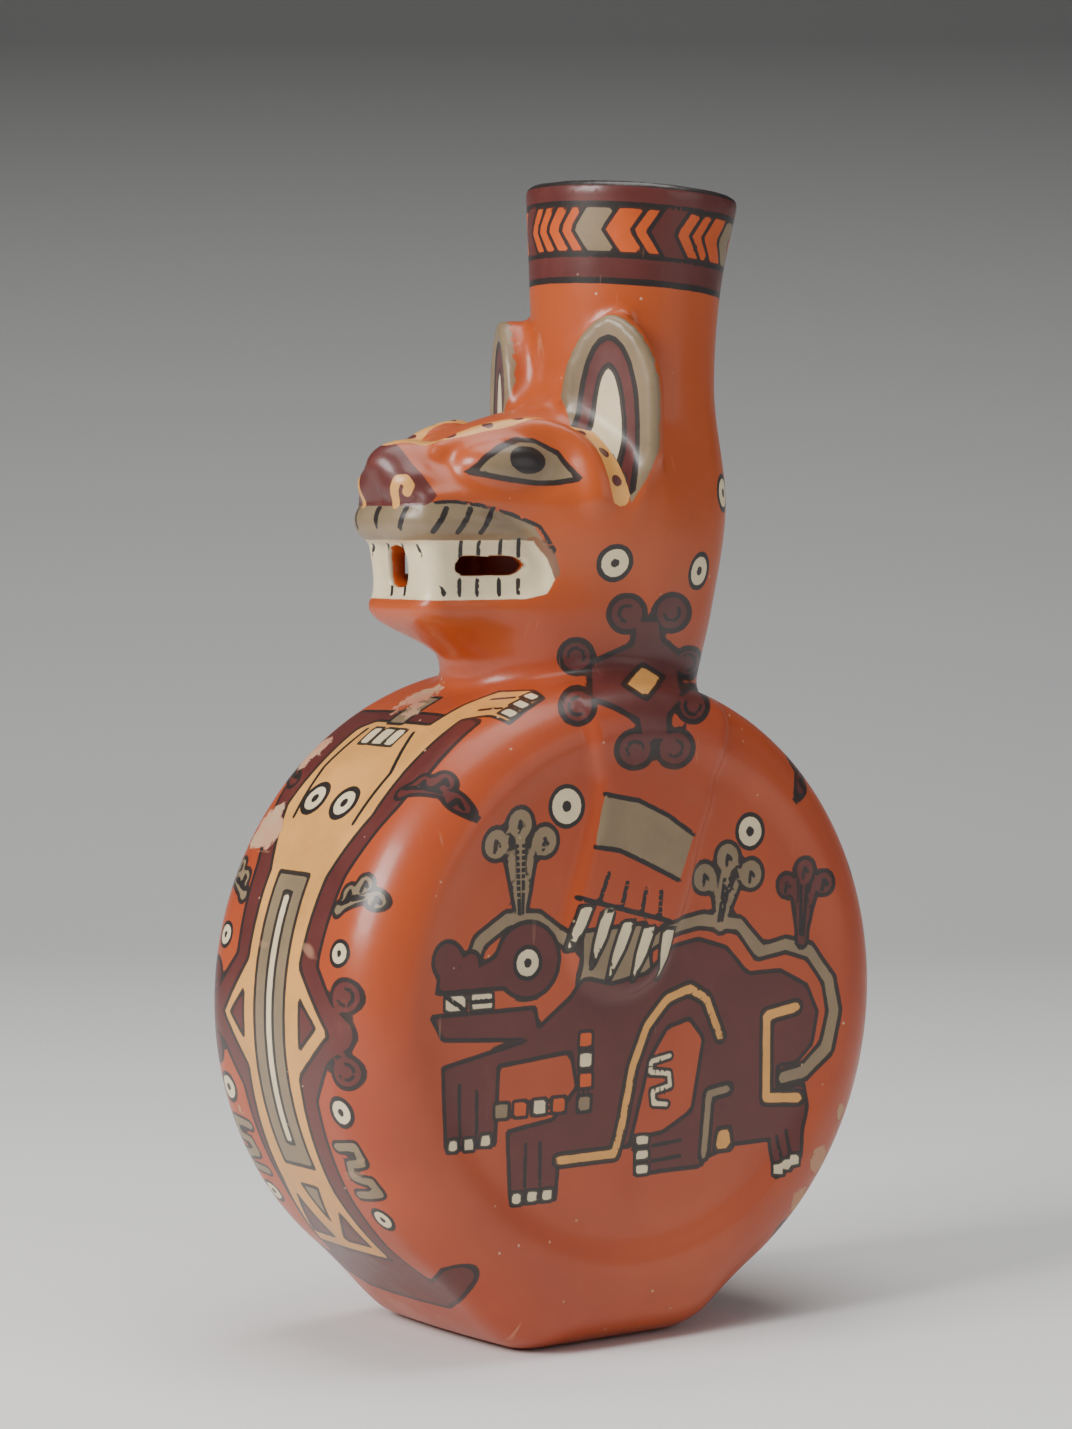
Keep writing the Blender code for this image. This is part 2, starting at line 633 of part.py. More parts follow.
def block(name, low, high, rounding, group):
    """A box between two corners with rounded edges along its length."""
    shape = bmesh.new()
    bmesh.ops.create_cube(shape, size=1.0)
    for vertex in shape.verts:
        vertex.co = [low[i] + (vertex.co[i] + 0.5) * (high[i] - low[i]) for i in range(3)]
    mesh = bpy.data.meshes.new(name)
    shape.to_mesh(mesh)
    shape.free()
    item = new_object(name, mesh, group)
    soften = item.modifiers.new("Soften", "BEVEL")
    soften.width = rounding
    soften.segments = 3
    soften.limit_method = "NONE"
    return item


def mouth_cutters(group):
    """The empty space behind the teeth, the gap between the fangs and the slots at the sides."""
    middle = HEAD_Z + HOLE_Z
    front = float(smooth_through(np.array([HOLE_Z]), HEAD, 1)[0]) + TEETH_SET_BACK
    room_front = front + TEETH_WALL
    room_length = ROOM_REAR - room_front
    room = block("MouthRoomCutter", (-ROOM_HALF_WIDTH, room_front, middle - 0.5 * ROOM_HEIGHT),
                 (ROOM_HALF_WIDTH, ROOM_REAR, middle + 0.5 * ROOM_HEIGHT), LIP_FILLET, group)
    for vertex in room.data.vertices:
        forward = (ROOM_REAR - vertex.co.y) / room_length
        vertex.co.x *= 1.0 - ROOM_TAPER * forward
    half = 0.5 * HOLE_WIDTH
    hole = block("FangGapCutter", (-half, front - 3.0 * OVERRUN, middle - 0.5 * HOLE_HEIGHT),
                 (half, room_front + OVERRUN, middle + 0.5 * HOLE_HEIGHT), 0.7 * half, group)
    slot_front = room_front + SLOT_SET_BACK
    reach = HEAD[:, 3].max() + OVERRUN
    slot = block("ToothSlotCutter", (-reach, slot_front, middle - 0.5 * SLOT_HEIGHT),
                 (reach, slot_front + SLOT_LENGTH, middle + 0.5 * SLOT_HEIGHT), 0.4 * SLOT_HEIGHT, group)
    return [room, hole, slot]


def clay():
    """Plain slip-coated clay in the bottle's main colour."""
    material = bpy.data.materials.new("SlippedClay")
    material.use_nodes = True
    shader = material.node_tree.nodes["Principled BSDF"]
    shader.inputs["Base Color"].default_value = (0.42, 0.10, 0.035, 1.0)
    shader.inputs["Roughness"].default_value = 0.35
    shader.inputs["Metallic"].default_value = 0.0
    return material


def build():
    """Make the bottle from its masses of clay."""
    for item in list(bpy.data.objects):
        bpy.data.objects.remove(item)
    bottle_group = bpy.data.collections.new("EffigyBottle")
    cutter_group = bpy.data.collections.new("Cutters")
    for group in (bottle_group, cutter_group):
        bpy.context.scene.collection.children.link(group)
    bottle = join(clay_masses(bottle_group), "Bottle")
    for _ in range(2):
        remesh(bottle, GRAIN)
        carve(bottle, 6)
    thin_out(bottle, OUTER_TRIANGLES)
    carve(bottle, 3)
    for vertex in bottle.data.vertices:
        if vertex.co.z < FLAT_SNAP:
            vertex.co.z = 0.0
    for cutter in hollow_cutters(cutter_group) + mouth_cutters(cutter_group):
        cut(bottle, cutter)
    bottle.data.materials.clear()
    bottle.data.materials.append(clay())
    bottle.data.shade_smooth()
    bottle.data.set_sharp_from_angle(angle=math.radians(40.0))


build()
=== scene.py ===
"""Painted effigy bottle of burnished slipped clay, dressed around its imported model."""

import math

import bmesh
import bpy
import numpy as np
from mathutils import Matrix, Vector


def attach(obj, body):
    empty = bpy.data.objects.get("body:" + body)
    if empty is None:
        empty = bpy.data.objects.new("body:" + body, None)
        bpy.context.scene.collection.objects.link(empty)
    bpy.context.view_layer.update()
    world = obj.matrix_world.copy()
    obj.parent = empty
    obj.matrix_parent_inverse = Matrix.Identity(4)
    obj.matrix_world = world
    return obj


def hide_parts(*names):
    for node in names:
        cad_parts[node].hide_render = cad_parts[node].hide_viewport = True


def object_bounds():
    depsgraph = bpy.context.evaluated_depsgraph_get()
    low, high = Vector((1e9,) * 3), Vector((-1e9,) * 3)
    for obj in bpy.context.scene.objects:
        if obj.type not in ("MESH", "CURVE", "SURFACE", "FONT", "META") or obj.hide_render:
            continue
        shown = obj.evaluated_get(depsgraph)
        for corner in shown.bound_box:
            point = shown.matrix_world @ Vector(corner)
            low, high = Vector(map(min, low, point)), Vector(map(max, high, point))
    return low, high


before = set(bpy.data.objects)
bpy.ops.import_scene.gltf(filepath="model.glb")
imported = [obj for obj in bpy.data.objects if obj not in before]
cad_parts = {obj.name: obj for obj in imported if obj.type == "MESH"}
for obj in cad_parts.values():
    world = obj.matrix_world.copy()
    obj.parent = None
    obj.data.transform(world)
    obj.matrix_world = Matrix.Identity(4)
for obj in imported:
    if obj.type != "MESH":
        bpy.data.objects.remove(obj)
cad_box = [list(map(float, corner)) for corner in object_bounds()]


# The bottle: one hollow piece of fired clay. A thick disc standing on its edge, a spout and a
# snarling animal's head were joined while the clay was wet, and their forms run into each
# other with soft fillets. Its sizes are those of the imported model, so the skin fits it.

# Body: a thick disc whose axis lies along X
BODY_RADIUS = 0.0925
BODY_THICKNESS = 0.0910
BODY_CORNER = 0.0165
BAND_BULGE = 0.0022
FACE_DOME = 0.0017
BODY_WALL = 0.0060
FOOT_LIFT = 0.0015
FOOT_TURN = math.radians(-4.8)
FOOT_REACH = math.radians(30.0)
FOOT_SOFT = math.radians(6.0)
FOOT_SPLAY = 0.0310
FOOT_ROUND = 0.0045

# Shallow round field on each face, and the foreleg carved over its edge
RECESS_RADIUS = 0.0705
RECESS_RISE = 0.0030
RECESS_DEPTH = 0.0016
RECESS_SLOPE = 0.0055
FORELEG_RISE = 0.0024
FORELEG_SLOPE = 0.0022
FORELEG = (  # place along Y, height from the disc's centre and half width, as shares of the radius
    (0.100, 1.100, 0.360), (0.076, 0.951, 0.286), (0.063, 0.800, 0.246), (0.054, 0.670, 0.216),
    (0.022, 0.546, 0.200), (-0.022, 0.400, 0.202), (-0.081, 0.243, 0.195))

# Spout: it stands on the disc behind the head and leans back a little
NECK_HEIGHT = 0.1350
NECK_Y = 0.0230
NECK_LEAN = 0.0068
WAIST_RADIUS = 0.0236
SHOULDER_RADIUS = 0.0274
BULGE_RADIUS = 0.0302
THROAT_RADIUS = 0.0261
FLARE_RADIUS = 0.0274
LIP_RADIUS = 0.0305
NECK_WALL = 0.0050
LIP_WALL = 0.0042
RIM_SLOPE = 0.075
RIM_ROUND = 0.0030

# Head: the carving is laid out in eightieths of the head's length
HEAD_LENGTH = 0.0800
HEAD_LIFT = 0.0035
U = HEAD_LENGTH / 80.0
TEETH_SET_BACK = 0.0010
CHEEK_DEPTH = 0.0042

# Ears: two flat leaves set against the spout
EAR_HEIGHT = 0.0535
EAR_WIDTH = 0.0302
EAR_THICKNESS = 0.0068
EAR_DISH = 0.0009
EAR_RIM = 0.0080
EAR_ROOT = 0.0120
EAR_TIP = 42.0 * U
EAR_OUT = 0.0263
EAR_BACK = 0.0041
EAR_TURN = math.radians(26.0)
EAR_BEND = 0.56
EAR_SHIFT = -0.04
EAR_POINT = 1.24
EAR_TUCK = 0.0060
EAR_TUCK_HEIGHT = 0.0140

# Fillets where the parts of the bottle run into each other
BODY_FILLET = 0.0070
EAR_FILLET = 0.0045
EAR_EDGE = 0.0025
HEAD_FILLET = 10.0 * U
BROW_FILLET = 5.0 * U
EYE_FILLET = 4.0 * U
NOSE_FILLET = 3.0 * U
MOUTH_EDGE = 2.5 * U
LIP_FILLET = 1.5 * U
STEP = 2.0e-4

BODY_Z = BODY_RADIUS + FOOT_LIFT
BODY_TOP = BODY_Z + BODY_RADIUS
SPOUT_LOW = BODY_Z + 0.56 * BODY_RADIUS
RIM_Z = BODY_TOP + NECK_HEIGHT
RIM_Y = NECK_Y + NECK_LEAN
HEAD_Z = BODY_TOP + HEAD_LIFT
HEAD_HEIGHT = 70.0 * U

# Spout stations: share of its height, share of its lean, radius
NECK = np.array([
    (-0.30, 0.00, WAIST_RADIUS), (-0.06, 0.00, WAIST_RADIUS), (0.12, 0.20, SHOULDER_RADIUS),
    (0.325, 0.42, BULGE_RADIUS), (0.59, 0.56, THROAT_RADIUS), (0.80, 0.66, FLARE_RADIUS),
    (1.00, 1.05, LIP_RADIUS), (1.12, 1.20, LIP_RADIUS * 1.04)])

# Head sections: height, front of the muzzle, half width there, half width at the ears
HEAD = U * np.array([
    (0.0, -30.0, 10.0, 23.0), (6.0, -43.0, 13.0, 26.5), (10.0, -50.0, 15.5, 29.0),
    (14.0, -53.0, 17.0, 30.5), (18.0, -52.0, 17.0, 31.2), (30.0, -52.5, 17.5, 32.5),
    (40.0, -54.5, 18.5, 33.8), (44.5, -55.0, 19.0, 34.5), (49.0, -53.0, 16.0, 33.8),
    (54.0, -48.0, 12.5, 32.2), (59.0, -43.5, 9.5, 29.0), (63.0, -33.5, 8.5, 24.5),
    (67.0, -20.0, 8.0, 18.5), (70.0, -6.0, 8.0, 12.0)])
HEAD_ROUND = 8.5 * U
TEETH_ROUND = 5.0 * U
HEAD_REAR = 14.0 * U
TEETH_LOW = 10.0 * U
TEETH_HIGH = 46.0 * U

# Edge of the open mouth seen from the side: place along Y, height above the jaw's underside
MOUTH = U * np.array([
    (-60.0, 45.0), (-48.0, 44.2), (-38.0, 42.5), (-31.0, 40.0), (-26.0, 37.0), (-21.5, 32.8), (-18.0, 28.0),
    (-16.0, 22.0), (-18.5, 18.0), (-24.0, 16.8), (-40.0, 16.6), (-60.0, 16.8)])

# Balls of clay in the head: centre and half sizes in head units, and rolls of clay laid on it:
# middle line (x, y, height) and thickness, one side of the face
UPPER_LIP = U * np.array([
    (0.0, -52.6, 38.2, 5.6), (7.0, -52.6, 38.2, 5.8), (12.8, -49.8, 38.2, 5.9), (15.4, -43.0, 38.2, 5.6),
    (18.0, -34.8, 37.4, 4.6), (20.5, -27.5, 36.2, 2.2)])
EYE = ((14.6, -25.0, 53.2), (11.6, 17.0, 8.8))
SKULL = ((0.0, 6.0, 40.0), (34.5, 33.0, 29.0))
THROAT = ((0.0, -3.5, 6.0), (27.0, 28.5, 30.0))
BRIDGE = ((0.0, -47.5, 53.5), (8.8, 12.5, 7.2))
NOSTRIL = ((5.5, -50.0, 48.0), (9.2, 8.8, 6.8))
BROW = U * np.array([
    (9.0, -43.0, 58.0, 2.0), (11.5, -33.0, 61.0, 3.0), (15.0, -23.5, 63.0, 3.3), (20.0, -15.0, 63.0, 3.4),
    (25.5, -8.5, 59.0, 3.3), (29.5, -6.0, 52.0, 3.2), (31.0, -6.0, 45.0, 3.0)])


def blend_min(a, b, width):
    """Union of two forms with a fillet of the given width."""
    h = np.clip(0.5 + 0.5 * (b - a) / width, 0.0, 1.0)
    return b * (1.0 - h) + a * h - width * h * (1.0 - h)


def blend_max(a, b, width):
    """Cut of two forms with a rounded edge of the given width."""
    return -blend_min(-a, -b, width)


def rise(low, high, x):
    """Smooth step from 0 at low to 1 at high."""
    t = np.clip((x - low) / (high - low), 0.0, 1.0)
    return t * t * (3.0 - 2.0 * t)


def smooth_through(x, table, column):
    """Smooth curve through a table's first column and the given one."""
    xs, ys = table[:, 0], table[:, column]
    x = np.clip(x, xs[0], xs[-1])
    slopes = np.gradient(ys, xs)
    i = np.clip(np.searchsorted(xs, x, side="right") - 1, 0, len(xs) - 2)
    width = xs[i + 1] - xs[i]
    t = (x - xs[i]) / width
    keep = (2 * t**3 - 3 * t**2 + 1) * ys[i] + (t**3 - 2 * t**2 + t) * width * slopes[i]
    return keep + (3 * t**2 - 2 * t**3) * ys[i + 1] + (t**3 - t**2) * width * slopes[i + 1]


def ball(p, centre, radii):
    """Distance to an ellipsoid given in head units."""
    half = U * np.array(radii)
    q = (p - U * np.array(centre)) / half
    reach = np.linalg.norm(q, axis=1)
    slope = np.linalg.norm(q / half, axis=1)
    return reach * (reach - 1.0) / np.maximum(slope, 1e-9)


def roll_points(rows, steps=3):
    """Points of a smooth line through rows of x, y, height and thickness."""
    ends = np.vstack([2 * rows[0] - rows[1], rows, 2 * rows[-1] - rows[-2]])
    out = []
    for before, a, b, after in zip(ends[:-3], ends[1:-2], ends[2:-1], ends[3:]):
        for t in np.arange(steps) / steps:
            out.append(0.5 * (2 * a + (b - before) * t + (2 * before - 5 * a + 4 * b - after) * t * t
                              + (3 * a - before - 3 * b + after) * t**3))
    out.append(rows[-1])
    return np.array(out)


def roll(p, rows):
    """Distance to a roll of clay laid along rows of x, y, height and thickness."""
    line = roll_points(rows)
    nearest = np.full(len(p), 1.0)
    for a, b in zip(line[:-1], line[1:]):
        along = b[:3] - a[:3]
        t = np.clip(((p - a[:3]) @ along) / (along @ along), 0.0, 1.0)
        gap = np.linalg.norm(p - a[:3] - t[:, None] * along, axis=1) - (a[3] + (b[3] - a[3]) * t)
        nearest = np.minimum(nearest, gap)
    return nearest


def head_plan(p, front, half_front, rear, half_rear, corner):
    """Distance in plan to a rounded trapezoid that widens from the muzzle to the ears."""
    x, y = p[:, 0], p[:, 1]
    front, a, b = front + corner, half_front - corner, half_rear - corner
    ex, ey = b - a, rear - front
    length = np.hypot(ex, ey)
    t = np.clip(((x - a) * ex + (y - front) * ey) / length**2, 0.0, 1.0)
    side = np.hypot(x - a - t * ex, y - front - t * ey)
    nose = np.hypot(x - np.clip(x, 0.0, a), y - front)
    back = np.hypot(x - np.clip(x, 0.0, b), y - rear)
    inside = ((x - a) * ey - (y - front) * ex < 0.0) & (y > front) & (y < rear)
    gap = np.minimum(np.minimum(side, nose), back)
    return np.where(inside, -gap, gap) - corner


def head_block(q):
    """The head before its mouth and eyes are carved."""
    front, half_front, half_rear = (smooth_through(q[:, 2], HEAD, column) for column in (1, 2, 3))
    return head_plan(q, front, half_front, HEAD_REAR, half_rear, np.minimum(HEAD_ROUND, 0.9 * half_front))


def teeth_wall(q):
    """The wall of teeth set back behind the lips and cheeks."""
    front, half_front, half_rear = (smooth_through(q[:, 2], HEAD, column) for column in (1, 2, 3))
    wall = head_plan(q, front + TEETH_SET_BACK, half_front - 0.2 * CHEEK_DEPTH, HEAD_REAR,
                     half_rear - 1.2 * CHEEK_DEPTH, TEETH_ROUND)
    return blend_max(wall, between(q[:, 2], TEETH_LOW, TEETH_HIGH), LIP_FILLET)


def between(z, low, high):
    """Distance outside the layer between two heights."""
    return np.maximum(low - z, z - high)


def head_form(p):
    """The animal's head, with its mouth cut back to the teeth."""
    q = np.column_stack([np.abs(p[:, 0]), p[:, 1], p[:, 2] - HEAD_Z])
    form = blend_max(head_block(q), between(q[:, 2], 0.0, HEAD_HEIGHT), EYE_FILLET)
    form = blend_min(form, ball(q, *SKULL), HEAD_FILLET)
    form = blend_min(form, ball(q, *EYE), EYE_FILLET)
    form = blend_max(form, -outline_distance(q[:, 1], q[:, 2], MOUTH), MOUTH_EDGE)
    form = blend_min(form, teeth_wall(q), LIP_FILLET)
    form = blend_min(form, roll(q, UPPER_LIP), LIP_FILLET)
    form = blend_min(form, blend_min(ball(q, *BRIDGE), ball(q, *NOSTRIL), EYE_FILLET), NOSE_FILLET)
    form = blend_min(form, roll(q, BROW), BROW_FILLET)
    return blend_min(form, ball(q, *THROAT), HEAD_FILLET)


def outline_distance(u, v, outline):
    """Distance to a closed outline of (u, v) points, negative inside it."""
    nearest = np.full(len(u), 1.0)
    inside = np.zeros(len(u), bool)
    for (au, av), (bu, bv) in zip(outline, np.roll(outline, -1, axis=0)):
        du, dv = bu - au, bv - av
        t = np.clip(((u - au) * du + (v - av) * dv) / (du * du + dv * dv), 0.0, 1.0)
        nearest = np.minimum(nearest, np.hypot(u - au - t * du, v - av - t * dv))
        crosses = (av <= v) != (bv <= v)
        inside ^= crosses & (u < au + (v - av) * du / np.where(crosses, dv, 1.0))
    return np.where(inside, -nearest, nearest)


def ear_outline():
    """Outline of an ear's leaf, from the foot that tucks into the cheek up its outer edge and over."""
    half = 0.5 * EAR_WIDTH
    bend = EAR_BEND * EAR_HEIGHT
    middle = EAR_SHIFT * EAR_WIDTH
    a = np.linspace(0.0, math.pi, 17)
    arch = np.column_stack([middle + half * np.sign(np.cos(a)) * np.abs(np.cos(a)) ** EAR_POINT,
                            bend + (EAR_HEIGHT - bend) * np.sin(a)])
    foot = middle + half - EAR_TUCK
    return np.vstack([(foot, 0.0), (middle + half, EAR_TUCK_HEIGHT), arch, (foot - EAR_TUCK, 0.0)])


def ear_form(p):
    """A leaf-shaped ear, dished in front."""
    x = np.abs(p[:, 0]) - EAR_OUT
    y = p[:, 1] - EAR_BACK
    u = x * math.cos(EAR_TURN) + y * math.sin(EAR_TURN)
    w = x * math.sin(EAR_TURN) - y * math.cos(EAR_TURN)
    v = p[:, 2] - HEAD_Z - EAR_TIP
    edge = outline_distance(u, v, ear_outline())
    dish = EAR_DISH * (1.0 - rise(-EAR_RIM, 0.0, edge))
    back = 0.6 * EAR_THICKNESS + EAR_ROOT * np.clip((0.3 * EAR_WIDTH - u) / EAR_WIDTH, 0.0, 1.0)
    leaf = np.maximum(w - 0.4 * EAR_THICKNESS + dish, -w - back)
    return blend_max(edge, leaf, EAR_EDGE)


def foreleg_edge(p):
    """Distance along the face to the outline of the carved foreleg."""
    rows = BODY_RADIUS * np.array(FORELEG)
    y, z = p[:, 1], p[:, 2] - BODY_Z
    nearest = np.full(len(p), 1.0)
    for (ay, az, ar), (by, bz, br) in zip(rows[:-1], rows[1:]):
        vy, vz = by - ay, bz - az
        t = np.clip(((y - ay) * vy + (z - az) * vz) / (vy * vy + vz * vz), 0.0, 1.0)
        nearest = np.minimum(nearest, np.hypot(y - ay - t * vy, z - az - t * vz) - (ar + (br - ar) * t))
    return nearest


def disc_outline(p):
    """Distance to the disc's outline from the side: a circle that swells and is pressed flat below."""
    x, y, z = np.abs(p[:, 0]), p[:, 1], p[:, 2]
    band = BODY_RADIUS - BAND_BULGE * np.clip(2.0 * x / BODY_THICKNESS, 0.0, 1.2) ** 2
    turn = np.abs(np.arctan2(y, BODY_Z - z) - FOOT_TURN)
    swell = FOOT_SPLAY * blend_max(FOOT_REACH - turn, 0.0, FOOT_SOFT)
    return blend_max(np.hypot(y, z - BODY_Z) - band - swell, -z, FOOT_ROUND)


def body_form(p):
    """The disc with its shallow fields and forelegs."""
    x = np.abs(p[:, 0])
    half = 0.5 * BODY_THICKNESS
    reach = np.hypot(p[:, 1], p[:, 2] - BODY_Z)
    a = disc_outline(p) + BODY_CORNER
    b = x - (half - FACE_DOME * (reach / BODY_RADIUS) ** 2 - BODY_CORNER)
    form = np.minimum(np.maximum(a, b), 0.0) + np.hypot(np.maximum(a, 0.0), np.maximum(b, 0.0)) - BODY_CORNER
    on_face = rise(0.70, 0.97, x / half)
    from_field = np.hypot(p[:, 1], p[:, 2] - BODY_Z - RECESS_RISE) - RECESS_RADIUS
    form = form + RECESS_DEPTH * on_face * (1.0 - rise(-RECESS_SLOPE, RECESS_SLOPE, from_field))
    return form - FORELEG_RISE * on_face * (1.0 - rise(-FORELEG_SLOPE, FORELEG_SLOPE, foreleg_edge(p)))


def neck_radius(z):
    """Centre along Y and outer radius of the spout at a height."""
    share = (z - BODY_TOP) / NECK_HEIGHT
    return NECK_Y + NECK_LEAN * smooth_through(share, NECK, 1), smooth_through(share, NECK, 2)


def near(p, distance, low, high, reach):
    """A form worked out only for the points within reach of its box, and far away elsewhere."""
    close = ((p > np.array(low) - reach) & (p < np.array(high) + reach)).all(axis=1)
    out = np.full(len(p), reach)
    out[close] = distance(p[close])
    return out


def spout_form(p):
    """The spout down to inside the disc."""
    centre, radius = neck_radius(p[:, 2])
    return np.maximum(np.hypot(p[:, 0], p[:, 1] - centre) - radius, SPOUT_LOW - p[:, 2])


def bottle_form(p):
    """Signed distance, near enough, to the outside of the bottle."""
    upper = ((-0.045, -0.066, HEAD_Z - 0.012), (0.045, 0.062, RIM_Z + 0.010))
    ears = ((-0.045, -0.014, HEAD_Z + EAR_TIP - 0.008), (0.045, 0.024, HEAD_Z + EAR_TIP + EAR_HEIGHT + 0.008))
    form = blend_min(near(p, spout_form, *upper, 0.020), near(p, head_form, *upper, 0.020), HEAD_FILLET)
    form = blend_min(form, near(p, ear_form, *ears, 0.012), EAR_FILLET)
    form = blend_min(form, body_form(p), BODY_FILLET)
    rim = p[:, 2] - RIM_Z + RIM_SLOPE * (p[:, 1] - RIM_Y)
    return blend_max(form, rim, RIM_ROUND)


def hollow_form(p):
    """Signed distance, near enough, to the empty space inside the bottle."""
    radius = BODY_RADIUS - BAND_BULGE - BODY_WALL
    half = 0.5 * BODY_THICKNESS - FACE_DOME - RECESS_DEPTH - BODY_WALL
    corner = min(BODY_CORNER, 0.45 * half)
    a = np.hypot(p[:, 1], p[:, 2] - BODY_Z) - radius + corner
    b = np.abs(p[:, 0]) - half + corner
    chamber = np.minimum(np.maximum(a, b), 0.0) + np.hypot(np.maximum(a, 0.0), np.maximum(b, 0.0)) - corner
    centre, outer = neck_radius(np.minimum(p[:, 2], RIM_Z))
    wall = NECK_WALL + (LIP_WALL - NECK_WALL) * rise(RIM_Z - LIP_RADIUS, RIM_Z, p[:, 2])
    bore = np.maximum(np.hypot(p[:, 0], p[:, 1] - centre) - outer + wall, BODY_Z + 0.8 * radius - p[:, 2])
    return np.minimum(chamber, bore)


def clay_form(p):
    """Signed distance to the clay near the outside and in the two main hollows."""
    return np.maximum(bottle_form(p), -hollow_form(p))


def slope_of(form, p):
    """Gradient of a form at some points."""
    rises = [form(p + STEP * axis) - form(p - STEP * axis) for axis in np.eye(3)]
    return np.column_stack(rises) / (2.0 * STEP)


def settle(p, form, rounds, reach):
    """Move points along a form's slope until they lie on it, those that start within reach of it."""
    wanted = np.abs(form(p)) < reach
    q = p[wanted]
    for _ in range(rounds):
        slope = slope_of(form, q)
        steep = np.maximum((slope * slope).sum(axis=1), 0.25)
        move = -(form(q) / steep)[:, None] * slope
        length = np.linalg.norm(move, axis=1)[:, None]
        q = q + move * np.minimum(1.0, 0.0015 / np.maximum(length, 1e-9))
    p[wanted] = q
    return p


def points_of(mesh):
    """A mesh's points as an array."""
    p = np.empty(3 * len(mesh.vertices))
    mesh.vertices.foreach_get("co", p)
    return p.reshape(-1, 3)


def place_points(mesh, p):
    """Put a mesh's points where an array says."""
    mesh.vertices.foreach_set("co", p.ravel())
    mesh.update()


SKIN_GRAIN = 0.00165
INSIDE_SHARE = 0.10

bpy.ops.object.select_all(action="DESELECT")
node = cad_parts["Bottle"]
bottle = bpy.data.objects.new("PaintedBottle", node.data.copy())
bpy.context.scene.collection.objects.link(bottle)
bpy.context.view_layer.objects.active = bottle
bottle.select_set(True)
bpy.ops.object.mode_set(mode="EDIT")
bpy.ops.mesh.select_all(action="SELECT")
bpy.ops.mesh.remove_doubles(threshold=0.00001)
bpy.ops.object.mode_set(mode="OBJECT")
bottle.data.materials.clear()

skin = bottle.modifiers.new("Skin", "REMESH")
skin.mode = "VOXEL"
skin.voxel_size = SKIN_GRAIN
bpy.ops.object.modifier_apply(modifier=skin.name)
place_points(bottle.data, settle(points_of(bottle.data), clay_form, 3, 0.0016))

# The walls inside are seen only down the spout, so they keep few faces
deep = np.flatnonzero(bottle_form(points_of(bottle.data)) < -0.0030)
deep = deep[points_of(bottle.data)[deep, 2] < RIM_Z - 0.030]
inside = bottle.vertex_groups.new(name="Inside")
inside.add(deep.tolist(), 1.0, "REPLACE")
bottle.data.calc_loop_triangles()
total = len(bottle.data.loop_triangles)
thin = bottle.modifiers.new("Thin", "DECIMATE")
thin.vertex_group = inside.name
thin.ratio = 1.0 - (1.0 - INSIDE_SHARE) * 2.0 * len(deep) / total
bpy.ops.object.modifier_apply(modifier=thin.name)
bottle.vertex_groups.clear()


# The painted pictures, laid on in maroon, grey, tan, cream and orange slip and outlined in
# brown-black before firing: a running feline on each face, a creature along each narrow side,
# bands at the rim and the head's own features. One brown stroke at the back of the mouth is
# painted shade in the hollow there, not slip. They are set out here in millimetres.

MM = 1000.0
# Slip colours, and last a brown that is used only as painted shade at the back of the mouth
PAINT = {"maroon": (0.115, 0.024, 0.020), "grey": (0.26, 0.185, 0.105), "tan": (0.76, 0.36, 0.09),
         "cream": (0.80, 0.66, 0.42), "orange": (0.60, 0.095, 0.014), "dark": (0.022, 0.016, 0.014),
         "painted_mouth_shade": (0.24, 0.11, 0.06)}
LAYERS = 8
FAR = 4.0

# Half widths of the outlines
INK = 0.66
BOLD_INK = 0.8
FINE_INK = 0.5

# Widths of the black lines inside the figures
LINE = 1.2
BOLD_LINE = 1.4
FINE_LINE = 1.0

# Drawing surfaces: the spout unrolled, and the shoulder seen from beside the head
NECK_ROLL = 28.0
NECK_DEPTH = 40.0
SHOULDER_VIEW = (0.588, 0.809)
SHOULDER_MIDDLE = (26.5, 183.8)


def canvas_places(name, p):
    """Where points lie on a drawing surface, in millimetres, and which of them are on it."""
    x, y, z = MM * p.T
    outer = bottle_form(p) > -0.0012
    if name == "face":
        return y, z, outer & (np.abs(x) > 17.0) & (z < 204.0)
    if name == "shoulder":
        across = SHOULDER_VIEW[0] * np.abs(x) + SHOULDER_VIEW[1] * y - SHOULDER_MIDDLE[0]
        return across, z - SHOULDER_MIDDLE[1], outer & (z > 150.0) & (np.abs(x) > 12.0)
    if name in ("front", "back"):
        side = -1.0 if name == "front" else 1.0
        height = z - MM * BODY_Z
        along = MM * BODY_RADIUS * np.arctan2(height, side * y)
        return side * -x, along, outer & (np.hypot(y, height) > 76.0) & (side * y > 0.0) & (z < 187.0)
    if name == "neck":
        centre = MM * neck_radius(np.full(1, RIM_Z - 0.015))[0]
        drop = MM * (RIM_Z - RIM_SLOPE * (p[:, 1] - RIM_Y)) - z
        return NECK_ROLL * np.arctan2(x, centre - y), drop, outer & (drop < NECK_DEPTH)
    if name == "ear":
        out, back = np.abs(x) - MM * EAR_OUT, y - MM * EAR_BACK
        u = out * math.cos(EAR_TURN) + back * math.sin(EAR_TURN)
        w = out * math.sin(EAR_TURN) - back * math.cos(EAR_TURN)
        return u, z - MM * (HEAD_Z + EAR_TIP), outer & (w > -1.0) & (w < 6.0) & (z > 228.0)
    return y, z, outer & (z > 196.0) & (z < 266.0)


figures = []


def patch(canvas, layer, colour, *outlines, ink=INK):
    """Fill closed outlines with a colour and edge them in ink."""
    figures.extend((canvas, layer, colour, np.array(line, float), ink, None) for line in outlines)


def stroke(canvas, layer, colour, width, *paths, ink=INK):
    """Draw lines of a width in a colour and edge them in ink."""
    figures.extend((canvas, layer, colour, np.array(path, float), ink, width) for path in paths)


def black(canvas, layer, width, *paths):
    """Draw plain black lines."""
    stroke(canvas, layer, "dark", width, *paths, ink=0.0)


